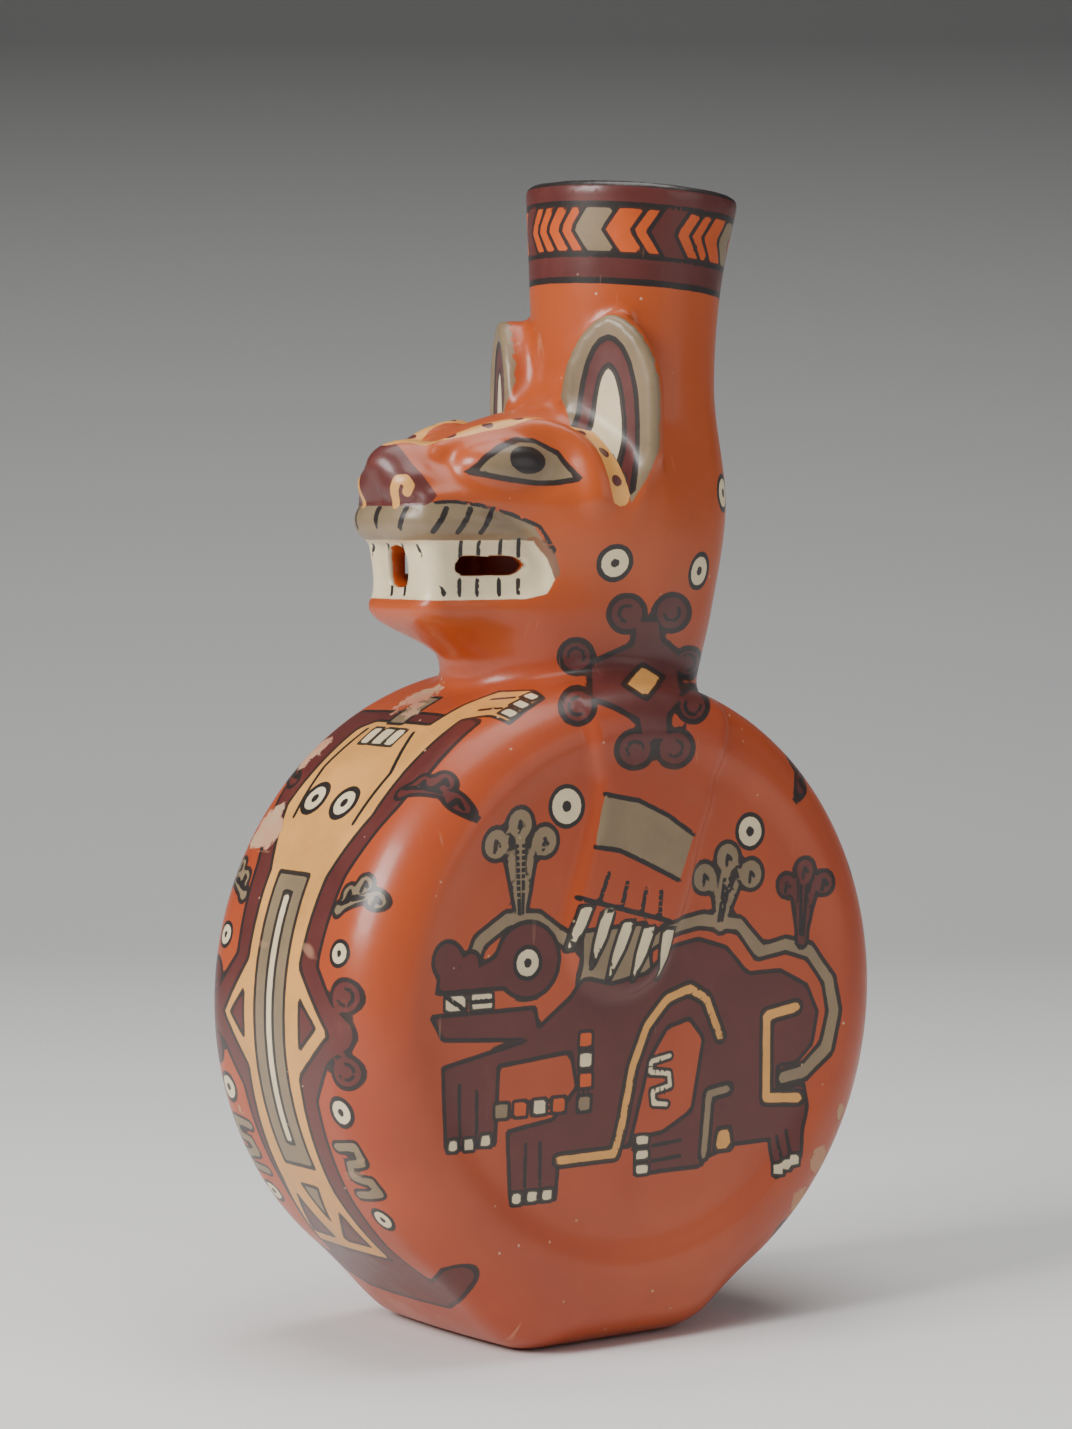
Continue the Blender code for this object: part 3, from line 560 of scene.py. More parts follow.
def arc(centre, radii, low, high, points=8):
    """Points on a round stretch between two angles in degrees."""
    a = np.radians(np.linspace(low, high, points))
    return np.column_stack([centre[0] + radii[0] * np.cos(a), centre[1] + radii[1] * np.sin(a)])


def disc(centre, radius, sides=20):
    """Outline of a round spot."""
    return arc(centre, (radius, radius), 0.0, 360.0, sides + 1)[:-1]


def tiles(canvas, layer, colour, shape, *places):
    """Small four-sided patches of one shape, such as claws and teeth."""
    patch(canvas, layer, colour, *(np.array(shape) + place for place in places), ink=FINE_INK)


def ring_eye(canvas, centre, *radii):
    """A round eye: a black ring, cream inside it and a black dot."""
    for number, (colour, radius) in enumerate(zip(("dark", "cream", "dark"), radii)):
        patch(canvas, 4 + number, colour, disc(centre, radius), ink=0.0)


def tuft(canvas, layer, colour, stem, top, lobe, spread):
    """A stem with three curled lobes."""
    (su, sv), (tu, tv) = stem, top
    stroke(canvas, layer, colour, 4.4, [stem, top])
    for side in (-0.6, 0.6):
        stroke(canvas, layer, colour, 3.0, [stem, (tu + side * spread, tv - 0.9 * lobe)])
    for du, dv in ((-spread, -1.1 * lobe), (0.0, 0.0), (spread, -1.1 * lobe)):
        u, v = tu + du, tv + dv
        patch(canvas, layer, colour, disc((u, v), lobe))
        black(canvas, layer + 2, LINE, [(u - 0.5, v - 2.2), (u, v + 0.8), (u + 1.3, v - 0.6)])
    for du in (-1.1, 1.1):
        black(canvas, layer + 2, LINE, [(su + 0.5 * du, sv + 1.5), (tu + du, tv - 1.2 * lobe)])


# The feline on each face: body with legs, head and jaws
patch("face", 1, "maroon",
      [(-24, 99), (-20, 104), (-12, 102), (0, 104), (8, 110), (20, 112), (30, 109), (38, 101), (50, 101),
       (60, 96), (64, 88), (62, 79), (56, 74), (49, 74), (49, 67), (59, 68), (60, 61), (57, 52), (46, 53),
       (34, 53), (22, 50), (22, 48), (-2, 48), (-2, 58), (8, 59), (18, 64), (22, 84), (17, 90), (9, 88),
       (3, 80), (-1, 66), (-4, 56), (-20, 56), (-28, 55), (-29, 44), (-44, 44), (-45, 64), (-30, 66),
       (-22, 74), (-24, 84), (-48, 82), (-49, 61), (-66, 61), (-66, 83), (-40, 88)],
      disc((-38.3, 110), 10.5), [(-68, 103), (-67, 109), (-56, 109), (-46, 113), (-42, 103)],
      [(-70, 97), (-36, 97), (-34, 88), (-66, 90.5)], disc((-64.4, 111.7), 5.2), disc((-57.0, 110.5), 3.2),
      [(48, 42), (46, 54), (58, 56), (57, 47)])
ring_eye("face", (-38.4, 109.3), 5.0, 3.7, 1.4)

# Its crest, back stripe and tail with their tufts
stroke("face", 0, "grey", 4.4, [(-57, 109), (-54, 116), (-45, 121.5), (-35, 121), (-25, 114)])
patch("face", 0, "grey", [(-22, 98), (-22, 117), (0, 118), (3, 98)],
      [(-12, 104), (8, 113), (20, 115), (34, 113), (41, 104.5), (52, 106), (60, 103.5), (66, 96),
       (67.5, 88), (65, 79), (58, 73.5), (48, 72), (50, 68), (60, 69), (69, 76), (72, 88), (70, 98),
       (62, 108), (52, 110.5), (44, 109), (36, 117), (22, 119.5), (6, 117)])
tuft("face", 0, "grey", (-40.5, 121), (-40.5, 147.0), 4.6, 8.0)
tuft("face", 0, "grey", (28, 115), (30.8, 134.0), 4.6, 8.4)
tuft("face", 3, "maroon", (58, 109), (59, 129.0), 3.6, 6.6)

# Its teeth, claws and toes
CLAW = [(-2.2, -1.9), (-1.9, 1.7), (2.0, 1.7), (1.8, -2.1)]
HIND_CLAW = [(-2.55, -1.6), (-2.55, 1.7), (2.55, 1.5), (2.35, -1.7)]
for rear, front in ((-65.4, -58.3), (-57.0, -49.6)):
    patch("face", 4, "cream", [(rear, 97.6), (rear, 102.4), (front, 102.4), (front, 97.6)], ink=FINE_INK)
black("face", 5, BOLD_LINE, [(-65.4, 102.4), (-58.3, 97.6)], [(-57.0, 100.0), (-49.6, 100.0)])
tiles("face", 4, "cream", CLAW, (-63.3, 62.2), (-57.6, 61.9), (-52.0, 62.4), (-41.9, 45.6), (-36.7, 45.6),
      (-31.7, 45.6), (49.0, 44.5), (51.9, 45.6), (54.8, 46.7))
tiles("face", 4, "cream", HIND_CLAW, (0.65, 57.4), (0.65, 53.3), (0.65, 49.2))
black("face", 2, LINE, [(-60.6, 64), (-60.6, 78)], [(-55.0, 64), (-55.0, 76)], [(-39.2, 48), (-39.0, 60)],
      [(-34.2, 48), (-34.2, 60)], [(4, 55.4), (14, 56)], [(4, 51.2), (14, 51.6)], [(50.4, 47), (49, 54)],
      [(53.4, 48), (52.4, 55)])

# Bands, a curl and the collar of small squares on its body
stroke("face", 3, "tan", 3.6, [(-28, 54.5), (-9, 54.5), (-6.6, 62), (-3, 78), (2, 89), (9, 96), (17, 98.3),
                               (23, 95), (28, 84)])
stroke("face", 3, "tan", 4.0, [(56, 90), (45, 88.5), (45, 65), (57, 64)])
stroke("face", 3, "grey", 3.4, [(22.5, 51), (24, 68), (31, 69)])
patch("face", 4, "tan", [(26, 51.5), (33, 51.5), (32, 58), (27, 58)])
stroke("face", 4, "cream", 2.2, [(10, 80), (3.5, 79), (3.2, 76.0), (9.8, 75.2), (10.2, 71.6), (4.0, 70.6),
                                 (4.4, 67.2), (9.0, 66.6)], ink=0.45)
COLLAR_SQUARE = [(-2.5, -2.3), (-2.3, 2.3), (2.5, 2.2), (2.3, -2.4)]
tiles("face", 6, "orange", COLLAR_SQUARE, (-19, 87), (-19, 75.8), (-40.8, 69.8), (-28, 69.8))
tiles("face", 6, "cream", COLLAR_SQUARE, (-19, 81.4), (-34.4, 69.8))
tiles("face", 6, "grey", COLLAR_SQUARE, (-19.5, 69.4), (-47, 69.8))

# The carved foreleg over it: a grey wristband, toes and long cream claws
CUFF_TOP = [(-13.6, 153.9), (-2.2, 151.7), (7.8, 147.2), (16.9, 141.4)]
CUFF_FOOT = [(11.7, 128.9), (0, 134.4), (-8.9, 138.3), (-17.2, 139.7)]
patch("face", 5, "grey", CUFF_TOP + CUFF_FOOT, ink=0.0)
black("face", 6, BOLD_LINE, CUFF_TOP, CUFF_FOOT)
black("face", 6, 1.5, [(-12.8, 132.2), (-15.6, 125.6)], [(-6.4, 129.4), (-8.3, 123.3)],
      [(0, 127.2), (-1.7, 120.6)], [(5.2, 126.3), (4.7, 118.9)], [(-22.8, 126.1), (8.3, 117.8)])
LONG_CLAWS = (((-20, 124), (-26, 111.5)), ((-13, 122), (-19, 106.5)), ((-6, 119), (-13.5, 102.5)),
              ((1.2, 117), (-5.0, 102.0)), ((7.8, 116), (5, 101.5)))
for number, ((ru, rv), (tu, tv)) in enumerate(LONG_CLAWS):
    mu, mv = 0.5 * (ru + tu), 0.5 * (rv + tv)
    patch("face", 5 + number % 2, "cream", [(ru - 2.4, rv), (ru + 2.6, rv), (mu + 2.5, mv), (tu + 0.6, tv),
                                            (tu - 0.6, tv), (mu - 2.1, mv)], ink=0.55)

# The four-armed scroll at the shoulder: each arm ends in two curls, given as centre, radius and turn
SCROLL_CURLS = ((-4.4, 18.6, 5.2, 200), (8.4, 18.6, 5.2, -20), (-2.6, -18.0, 5.2, 160),
                (8.6, -18.2, 5.2, 20), (-18.6, 7.0, 4.7, 120), (-18.4, -5.9, 4.7, 240),
                (13.4, 4.2, 4.2, 60), (13.8, -6.8, 4.4, -60))
patch("shoulder", 0, "maroon", [(-10, 7), (-3, 10), (-2, 17), (5, 17), (6, 11), (11, 7), (11, -5), (7, -9),
                                (7, -16), (-1, -16), (-2, -10), (-9, -6), (-15, -4), (-15, 5)],
      *(disc((u, v), radius) for u, v, radius, _ in SCROLL_CURLS), ink=BOLD_INK)
patch("shoulder", 2, "tan", [(0, 4.4), (6.0, 0.6), (0.6, -4.6), (-5.6, -0.6)], ink=0.7)
black("shoulder", 2, FINE_LINE, *(arc((u, v), (2.3, 2.3), turn - 150.0, turn + 60.0)
                                  for u, v, _, turn in SCROLL_CURLS))
ring_eye("face", (-25.0, 151.0), 6.2, 4.9, 1.6)
ring_eye("face", (39.0, 141.0), 5.5, 4.2, 1.5)

# The creature along each narrow side, and the maroon border with curls round it. Half of the
# border is drawn, from the top down, and turned over for the other half.
BORDER = np.array([
    (29.7, 99), (31, 76), (29, 63), (22, 41), (20, 16), (28, 7), (31, 5), (35, 2), (36, -2), (34, -6),
    (31, -7), (26, -10), (18.5, -21), (17.5, -50), (19, -70), (24, -84), (34, -78), (36, -88), (20, -96)])
NAIL = [(-2.2, -2.0), (-2.2, 1.8), (2.2, 2.2), (2.2, -1.6)]
BENT_LINE = np.array([(22, -34), (30, -33), (31, -38), (25, -39), (24, -43), (31, -44), (32, -48), (23, -49)])
BORDER_CURLS = ((32.5, 9.0), (32.5, -11.5), (35.0, -83.0))
for side in ("front", "back"):
    patch(side, 0, "maroon", np.vstack([BORDER, BORDER[::-1] * (-1.0, 1.0)]))
    patch(side, 1, "tan",
          [(-14, 94), (12, 94), (14, 105), (18, 115), (28, 119), (34, 118), (36, 103), (30, 102), (22, 98),
           (21, 60), (14, 40), (12, 15), (27, -2), (12, -15), (10.5, -50), (14, -76), (-22, -76),
           (-16, -50), (-14, -15), (-26, -1), (-14, 15), (-14, 40), (-22, 60), (-19, 90)])
    patch(side, 2, "grey", [(-9, 40), (6, 40), (6, -43), (-9, -43)], [(-8, 108), (0, 108), (0, 93), (-8, 93)],
          [(-5.9, -50), (2.1, -50), (-3.0, -63)])
    patch(side, 3, "cream", [(-3.4, 34.5), (0.4, 34.5), (0.4, -36), (-3.4, -36)])
    patch(side, 2, "maroon", [(-15, 6.4), (-22, -0.7), (-15, -7)], [(13.3, 6.4), (21, -0.7), (13.3, -7.4)],
          [(-12.4, -55), (-19.6, -71), (-8.6, -71)], [(6.4, -58), (-3.4, -71), (9.0, -71)], ink=0.6)
    for left, right in ((-11, -6.2), (-5.4, -0.2), (0.6, 5.6)):
        patch(side, 3, "cream", [(left, 83.5), (left, 91), (right, 91), (right, 83.5)], ink=FINE_INK)
    tiles(side, 3, "cream", NAIL, (31, 116.0), (32.3, 111.2), (33, 106.2))
    black(side, 2, BOLD_LINE, [(9, 90), (16, 74), (14.7, 56.4)], [(21, 110), (27.6, 113)],
          [(23.3, 103.6), (29.7, 106.4)], [(-14, 90), (-17, 74), (-15, 56.4)])
    ring_eye(side, (-10.0, 62.9), 5.8, 4.0, 1.5)
    ring_eye(side, (5.1, 62.4), 5.8, 4.0, 1.5)
    for u in (1.0, -1.0):
        patch(side, 0, "maroon", *(disc((u * across, v), 4.8) for across, v in BORDER_CURLS))
        ring_eye(side, (28.6 * u, 20.3), 4.0, 2.8, 1.0)
        ring_eye(side, (28.4 * u, -23.1), 4.8, 3.4, 1.2)
        ring_eye(side, (27.4 * u, -57.1), 4.3, 3.0, 1.1)
        tuft(side, 4, "grey", (24.0 * u, 32.0), (31.0 * u, 40.0), 3.0, 4.6)
        tuft(side, 4, "maroon", (27.0 * u, 68.0), (36.0 * u, 76.0), 3.0, 4.6)
        stroke(side, 4, "grey", 3.4, BENT_LINE * (u, 1.0), ink=FINE_INK)
        for across, v in BORDER_CURLS[:2]:
            black(side, 2, FINE_LINE, arc((across, v), (2.4, 2.4), -150.0, 90.0) * (u, 1.0))

# The bands round the rim: maroon, a row of arrowheads with their widths, maroon
HALF_TURN = math.pi * NECK_ROLL
ROUND = HALF_TURN + 8.0
ROW_TOP = 7.2
ROW_MIDDLE = 13.8
ROW_FOOT = 20.4
POINT_REACH = 4.4
ARROWHEADS = (("orange", 5.2), ("orange", 4.4), ("grey", 9.4), ("orange", 7.8), ("orange", 4.6),
              ("maroon", 7.8), ("orange", 5.0), ("orange", 4.4), ("orange", 7.4), ("grey", 8.8),
              ("orange", 7.6), ("maroon", 7.0), ("orange", 4.6), ("orange", 4.6))


def arrow_edge(start):
    """The bent line on the left of an arrowhead."""
    return [(start + POINT_REACH, ROW_TOP), (start, ROW_MIDDLE), (start + POINT_REACH, ROW_FOOT)]


patch("neck", 0, "maroon", [(-ROUND, -9), (ROUND, -9), (ROUND, 28), (-ROUND, 28)], ink=0.9)
patch("neck", 1, "dark", [(-ROUND, -4), (ROUND, -4), (ROUND, 1.6), (-ROUND, 1.6)], ink=0.0)
black("neck", 2, 1.3, *([(-ROUND, drop), (ROUND, drop)] for drop in (6.6, 21.0, 28.2)))
total = sum(width for _, width in ARROWHEADS)
start = -HALF_TURN
for number, (colour, width) in enumerate(2 * ARROWHEADS):
    end = start + width * HALF_TURN / total
    for turn in (-2.0 * HALF_TURN, 0.0, 2.0 * HALF_TURN):
        if abs(start + turn) > HALF_TURN + 12.0:
            continue
        if colour == "maroon":
            black("neck", 5, LINE, arrow_edge(start + turn))
        else:
            arrowhead = arrow_edge(start + turn) + arrow_edge(end + turn)[::-1]
            patch("neck", 3 + number % 2, colour, arrowhead, ink=0.6)
    start = end

# The ears: a grey rim, then maroon and cream leaves as shares of the ear's half width and height
LEAF_MIDDLE = MM * EAR_SHIFT * EAR_WIDTH
LEAF_FOOT = 4.0
patch("ear", 0, "grey", MM * ear_outline() + (0.0, 1.0), ink=0.0)
for layer, colour, wide, tall in ((1, "maroon", 0.60, 0.88), (2, "cream", 0.33, 0.735)):
    half, rise_to = 0.5 * MM * EAR_WIDTH * wide, 0.5 * MM * EAR_HEIGHT * tall
    leaf = arc((LEAF_MIDDLE, rise_to), (half, rise_to), 0.0, 180.0, 13)
    feet = [(LEAF_MIDDLE - 0.8 * half, LEAF_FOOT), (LEAF_MIDDLE + half, LEAF_FOOT)]
    patch("ear", layer, colour, np.vstack([leaf, feet]), ink=BOLD_INK)

# The head seen from the side: eye, nose, lips and the rows of teeth in the mouth
patch("head", 1, "grey", [(-40.5, 241.6), (-37.0, 245.6), (-32.4, 248.4), (-26.0, 250.6), (-20.5, 250.2),
                          (-14.5, 246.8), (-11.1, 239.8), (-17.0, 238.6), (-22.5, 238.6), (-30.0, 239.4),
                          (-36.0, 240.6)], ink=0.75)
patch("head", 2, "dark", arc((-25.1, 244.9), (6.0, 3.9), 0.0, 360.0, 17)[:-1], ink=0.0)
patch("head", 1, "maroon", [(-70, 232.2), (-53.3, 232.4), (-50.2, 234.4), (-50.6, 237.5), (-52.6, 242.1),
                            (-53.4, 247.1), (-54.0, 252.0), (-70, 252.0)], ink=0.0)
patch("head", 0, "grey", [(-70, 233.2), (-46, 233.4), (-38, 232.4), (-29, 229.9), (-23, 227.0), (-20, 222.6),
                          (-28, 223.0), (-70, 223.0)], ink=0.0)
black("head", 2, FINE_LINE, [(-17.0, 220.0), (-21.5, 226.8), (-29, 230.1), (-38, 232.6), (-46, 233.6),
                             (-51, 233.2)])
LIP_FOOT = 223.0
patch("head", 3, "cream", np.minimum(MM * MOUTH + (0.0, MM * HEAD_Z), (100.0, LIP_FOOT)), ink=0.0)
# Painted shade: a brown stroke along the back corner of the mouth darkens the hollow there
stroke("head", 2, "painted_mouth_shade", 2.6, [(-18.6, 211.0), (-16.2, 214.0), (-18.0, 219.0), (-22.0, 222.6)], ink=0.0)

marks = []


def mark(layer, colour, width, *path):
    """Draw a line through points in space, set down on the clay, alike on both sides of the face."""
    on_clay = settle(np.array(path, float) / MM, bottle_form, 8, 0.02)
    marks.append((layer, colour, width, MM * on_clay))


mark(3, "tan", 5.6, (0, -53, 249.6), (2, -48, 250), (6, -43, 251.8), (12, -36, 254.5), (15, -28, 255.5),
     (16.5, -18, 256.5), (19.5, -9, 255.2), (24.7, -3.8, 251.4), (32.4, -1.6, 242.8), (35.1, -0.5, 235))
mark(4, "tan", 2.8, (7.9, -57.2, 232.9), (8.7, -58.1, 236.9), (9.6, -57.8, 239.6), (11.6, -56.6, 239.8),
     (12.6, -55.6, 237.9), (12.0, -56.1, 236.2))
mark(4, "dark", 1.5, (10.9, -51.6, 221.6), (16.3, -46.6, 208.2))

# Spots on the brow, ring-eyes on the spout, stripes on the lip and ticks on the teeth
for x, y, z in ((9.6, -40.5, 252.8), (14.2, -31.0, 255.2), (16.0, -22.0, 256.2), (18.0, -12.5, 256.0),
                (22.6, -5.4, 253.0), (29.0, -2.6, 246.8), (33.6, -1.2, 239.4)):
    mark(5, "maroon", 3.2, (x, y, z), (x + 0.2, y + 0.2, z - 0.2))
for x, y, z in ((32.1, -0.3, 216.6), (28.2, 32.4, 214.0), (23.3, 44.9, 236.0)):
    for layer, colour, width in ((4, "dark", 11.2), (5, "cream", 8.2), (6, "dark", 2.6)):
        mark(layer, colour, width, (x, y, z), (x - 0.1, y + 0.1, z))
for x, y in ((11.6, -57.0), (18.9, -49.0), (20.6, -42.1), (21.9, -35.5), (0.5, -58.0)):
    mark(4, "dark", 1.7, (x, y + 1.2, 231.6), (x - 0.3, y - 0.6, 228.4), (x - 0.8, y - 2.6, 225.3))
for x, y in ((17.2, -42.2), (18.3, -36.9), (19.6, -30.5), (20.7, -25.0), (3.5, -51.4)):
    mark(4, "dark", 1.3, (x, y, LIP_FOOT), (x, y, 218.6))
    mark(4, "dark", 1.3, (x - 0.4, y, 208.0), (x - 0.2, y, 212.2))


def line_distance(q, path):
    """Distance from points to a line through other points, on a plane or in space."""
    nearest = np.full(len(q), 100.0)
    for a, b in zip(path[:-1], path[1:]):
        t = np.clip((q - a) @ (b - a) / ((b - a) @ (b - a)), 0.0, 1.0)
        nearest = np.minimum(nearest, np.linalg.norm(q - a - t[:, None] * (b - a), axis=1))
    return nearest


NARROW = 2.5
SMALL = 6.0
NARROW_MARK = 3.5


def paint(p):
    """Distance to the nearest outline of each layer, that figure's colour and ink, and how near
    the narrow lines and small spots are."""
    edge = np.full((LAYERS, len(p)), FAR)
    narrow = np.full(len(p), FAR)
    tint = np.zeros((LAYERS, len(p), 4))

    def lay(own, distance, layer, colour, ink, is_narrow):
        if is_narrow:
            narrow[own] = np.minimum(narrow[own], np.abs(distance))
        nearer = distance < edge[layer, own]
        edge[layer, own[nearer]] = distance[nearer]
        tint[layer, own[nearer]] = (*PAINT[colour], ink)

    places = {name: canvas_places(name, p) for name in {figure[0] for figure in figures}}
    for canvas, layer, colour, shape, ink, width in figures:
        u, v, on = places[canvas]
        low, high = shape.min(axis=0) - FAR - (width or 0.0), shape.max(axis=0) + FAR + (width or 0.0)
        own = np.flatnonzero(on & (u > low[0]) & (u < high[0]) & (v > low[1]) & (v < high[1]))
        if not len(own):
            continue
        if width:
            distance = line_distance(np.column_stack([u[own], v[own]]), shape) - 0.5 * width
        else:
            distance = MM * outline_distance(u[own] / MM, v[own] / MM, shape / MM)
        is_narrow = (width or FAR) < NARROW or np.ptp(shape, axis=0).max() < SMALL
        lay(own, distance, layer, colour, ink, is_narrow)
    own = np.flatnonzero(places["head"][2])
    one_side = MM * np.column_stack([np.abs(p[own, 0]), p[own, 1:]])
    for layer, colour, width, path in marks:
        distance = line_distance(one_side, path) - 0.5 * width
        lay(own, distance, layer, colour, 0.0, width < NARROW_MARK)
    return edge, tint, narrow


# The skin gets finer faces along the narrow lines, then it is set down on the clay again
FINER = (1.0, 0.62, 0.55)
MOST_FACES = 190000
FACES_PER_CUT = 2.2
for grain in FINER:
    close = paint(points_of(bottle.data))[2] < 0.9 * grain + 0.5
    fine = bmesh.new()
    fine.from_mesh(bottle.data)
    cut = [e for e in fine.edges if e.calc_length() * MM > grain and all(close[v.index] for v in e.verts)]
    room = MOST_FACES - sum(len(face.verts) - 2 for face in fine.faces)
    if FACES_PER_CUT * len(cut) < room:
        bmesh.ops.subdivide_edges(fine, edges=cut, cuts=1)
        bmesh.ops.triangulate(fine, faces=[face for face in fine.faces if len(face.verts) > 4])
    fine.to_mesh(bottle.data)
    fine.free()
place_points(bottle.data, settle(points_of(bottle.data), clay_form, 4, 0.0016))
place_points(bottle.data, np.clip(points_of(bottle.data), cad_box[0], cad_box[1]))

# The painting is kept at the points of the skin, for the material to draw
edge, tint, narrow = paint(points_of(bottle.data))
for layer in range(LAYERS):
    outline = bottle.data.attributes.new("edge_%d" % layer, "FLOAT", "POINT")
    outline.data.foreach_set("value", edge[layer])
    fill = bottle.data.attributes.new("tint_%d" % layer, "FLOAT_COLOR", "POINT")
    fill.data.foreach_set("color", tint[layer].ravel())


class Socket:
    """A shader value that Python's operators work on, each adding a Math node."""

    def __init__(self, finish, link):
        self.finish = finish
        self.link = link

    def maths(self, operation, *values):
        return self.finish.node("ShaderNodeMath", {"operation": operation}, values)

    def __add__(self, other):
        return self.maths("ADD", self, other)

    def __radd__(self, other):
        return self.maths("ADD", other, self)

    def __sub__(self, other):
        return self.maths("SUBTRACT", self, other)

    def __rsub__(self, other):
        return self.maths("SUBTRACT", other, self)

    def __mul__(self, other):
        return self.maths("MULTIPLY", self, other)

    def __rmul__(self, other):
        return self.maths("MULTIPLY", other, self)

    def __abs__(self):
        return self.maths("ABSOLUTE", self)


class Finish:
    """A material built from nodes: one method adds any node and links its inputs."""

    def __init__(self, name):
        self.material = bpy.data.materials.new(name)
        self.material.use_nodes = True
        self.tree = self.material.node_tree
        self.shader = self.tree.nodes["Principled BSDF"]

    def feed(self, socket, value):
        """Link a socket value to an input, or set a plain one."""
        if isinstance(value, Socket):
            self.tree.links.new(value.link, socket)
        else:
            socket.default_value = value

    def node(self, kind, settings, inputs, output=0):
        """Add a node with its settings and its inputs, in order or by name, and give one output."""
        made = self.tree.nodes.new(kind)
        for key, value in settings.items():
            setattr(made, key, value)
        for key, value in inputs.items() if isinstance(inputs, dict) else enumerate(inputs):
            self.feed(made.inputs[key], value)
        return Socket(self, made.outputs[output])

    def set(self, name, value):
        """Set or link one of the shader's own inputs."""
        self.feed(self.shader.inputs[name], value)


# The slip's finish: burnished orange ground, the painted layers over it, and the wear of use.
# It is glossy where it was rubbed with a stone, and matt where the slip has flaked off.
SLIP_TONES = ((0.49, 0.082, 0.019, 1.0), (0.38, 0.054, 0.015, 1.0))
SPOUT_TONE = (0.53, 0.095, 0.013, 1.0)
SPOUT_FROM = (0.19, 0.215)
GRIME_TONE = (0.30, 0.12, 0.07, 1.0)
SPECK_TONE = (0.70, 0.46, 0.28, 1.0)
SCRATCH_TONE = (0.72, 0.38, 0.22, 1.0)
CLAY_TONES = ((0.56, 0.25, 0.15, 1.0), (0.50, 0.34, 0.20, 1.0))
WAVER = 0.34
SOFT_EDGE = 0.09
MOTTLE_DEPTH = 0.00035
GRAIN_DEPTH = 0.00003
FLAKE_DEPTH = 0.00030
SCRATCH_DEPTH = 0.00004

slip = Finish("SlippedClay")
place = slip.node("ShaderNodeTexCoord", {}, [], "Object")


def noise(scale, detail=3.0, rough=0.55, vector=place):
    """Mottling of a size, from 0 to 1."""
    inputs = {"Vector": vector, "Scale": scale, "Detail": detail, "Roughness": rough}
    return slip.node("ShaderNodeTexNoise", {}, inputs)


def ramp(value, low, high, start=0.0, end=1.0):
    """Turn a value's range into another, held at both ends."""
    return value.finish.node("ShaderNodeMapRange", {}, [value, low, high, start, end])


def mix(share, first, second):
    """Two colours mixed by a share."""
    return slip.node("ShaderNodeMix", {"data_type": "RGBA"}, {0: share, 6: first, 7: second}, 2)


def kept(name, output):
    """A value or colour kept at the points of the skin."""
    return slip.node("ShaderNodeAttribute", {"attribute_name": name}, [], output)


broad, patchy, grain = noise(14.0, 4.0), noise(55.0, 5.0, 0.62), noise(420.0)
spout = ramp(slip.node("ShaderNodeSeparateXYZ", {}, [place], "Z"), *SPOUT_FROM)
colour = mix(ramp(broad, 0.35, 0.68), *SLIP_TONES)
colour = mix(spout * 0.55, colour, SPOUT_TONE)

# Each layer of paint: its colour inside the outlines, uneven from the brush, then the black lines
waver = (noise(260.0, 2.0) - 0.5) * WAVER
brush = ramp(patchy, 0.25, 0.80, 0.80, 1.22)
for layer in range(LAYERS):
    distance = kept("edge_%d" % layer, "Fac") + waver
    tone = slip.node("ShaderNodeVectorMath", {"operation": "SCALE"},
                     {"Vector": kept("tint_%d" % layer, "Color"), "Scale": brush})
    ink = kept("tint_%d" % layer, "Alpha")
    colour = mix(ramp(distance, SOFT_EDGE, -SOFT_EDGE), colour, tone)
    line = ramp(abs(distance) - ink, SOFT_EDGE, -SOFT_EDGE) * ramp(ink, 0.02, 0.12)
    colour = mix(line * 0.97, colour, (*PAINT["dark"], 1.0))

# Grime in a thin veil, pale specks, scratches and the flaked places where the clay shows
speck = slip.node("ShaderNodeTexVoronoi", {}, {"Vector": place, "Scale": 170.0}, "Distance")
speck = ramp(speck, 0.085, 0.05) * ramp(noise(38.0, 2.0), 0.56, 0.62)
streaks = slip.node("ShaderNodeMapping", {}, {"Vector": place, "Rotation": (0.5, 0.3, 0.9),
                                              "Scale": (40.0, 420.0, 40.0)})
scratch = ramp(noise(1.0, 2.0, 0.5, streaks), 0.70, 0.74) * ramp(noise(30.0, 2.0), 0.50, 0.62)
flake = ramp(noise(75.0, 6.0, 0.68) * 0.8 + kept("worn", "Fac"), 0.80, 0.83)
colour = mix(ramp(patchy, 0.62, 0.82, 0.0, 0.22), colour, GRIME_TONE)
colour = mix(speck * 0.75, colour, SPECK_TONE)
colour = mix(scratch * 0.35, colour, SCRATCH_TONE)
colour = mix(flake, colour, mix(ramp(patchy, 0.40, 0.60), *CLAY_TONES))
slip.set("Base Color", colour)

roughness = ramp(patchy, 0.30, 0.75, 0.27, 0.42) + grain * 0.06
slip.set("Roughness", roughness + flake * 0.38 + scratch * 0.10 + speck * 0.2)
slip.set("Coat Weight", ramp(broad, 0.3, 0.7, 0.26, 0.14) * (1.0 - flake))
slip.set("Coat Roughness", 0.13)
height = noise(48.0, 2.0) * MOTTLE_DEPTH + grain * GRAIN_DEPTH - flake * FLAKE_DEPTH - scratch * SCRATCH_DEPTH
slip.set("Normal", slip.node("ShaderNodeBump", {}, {"Strength": 0.65, "Distance": 1.0, "Height": height}))

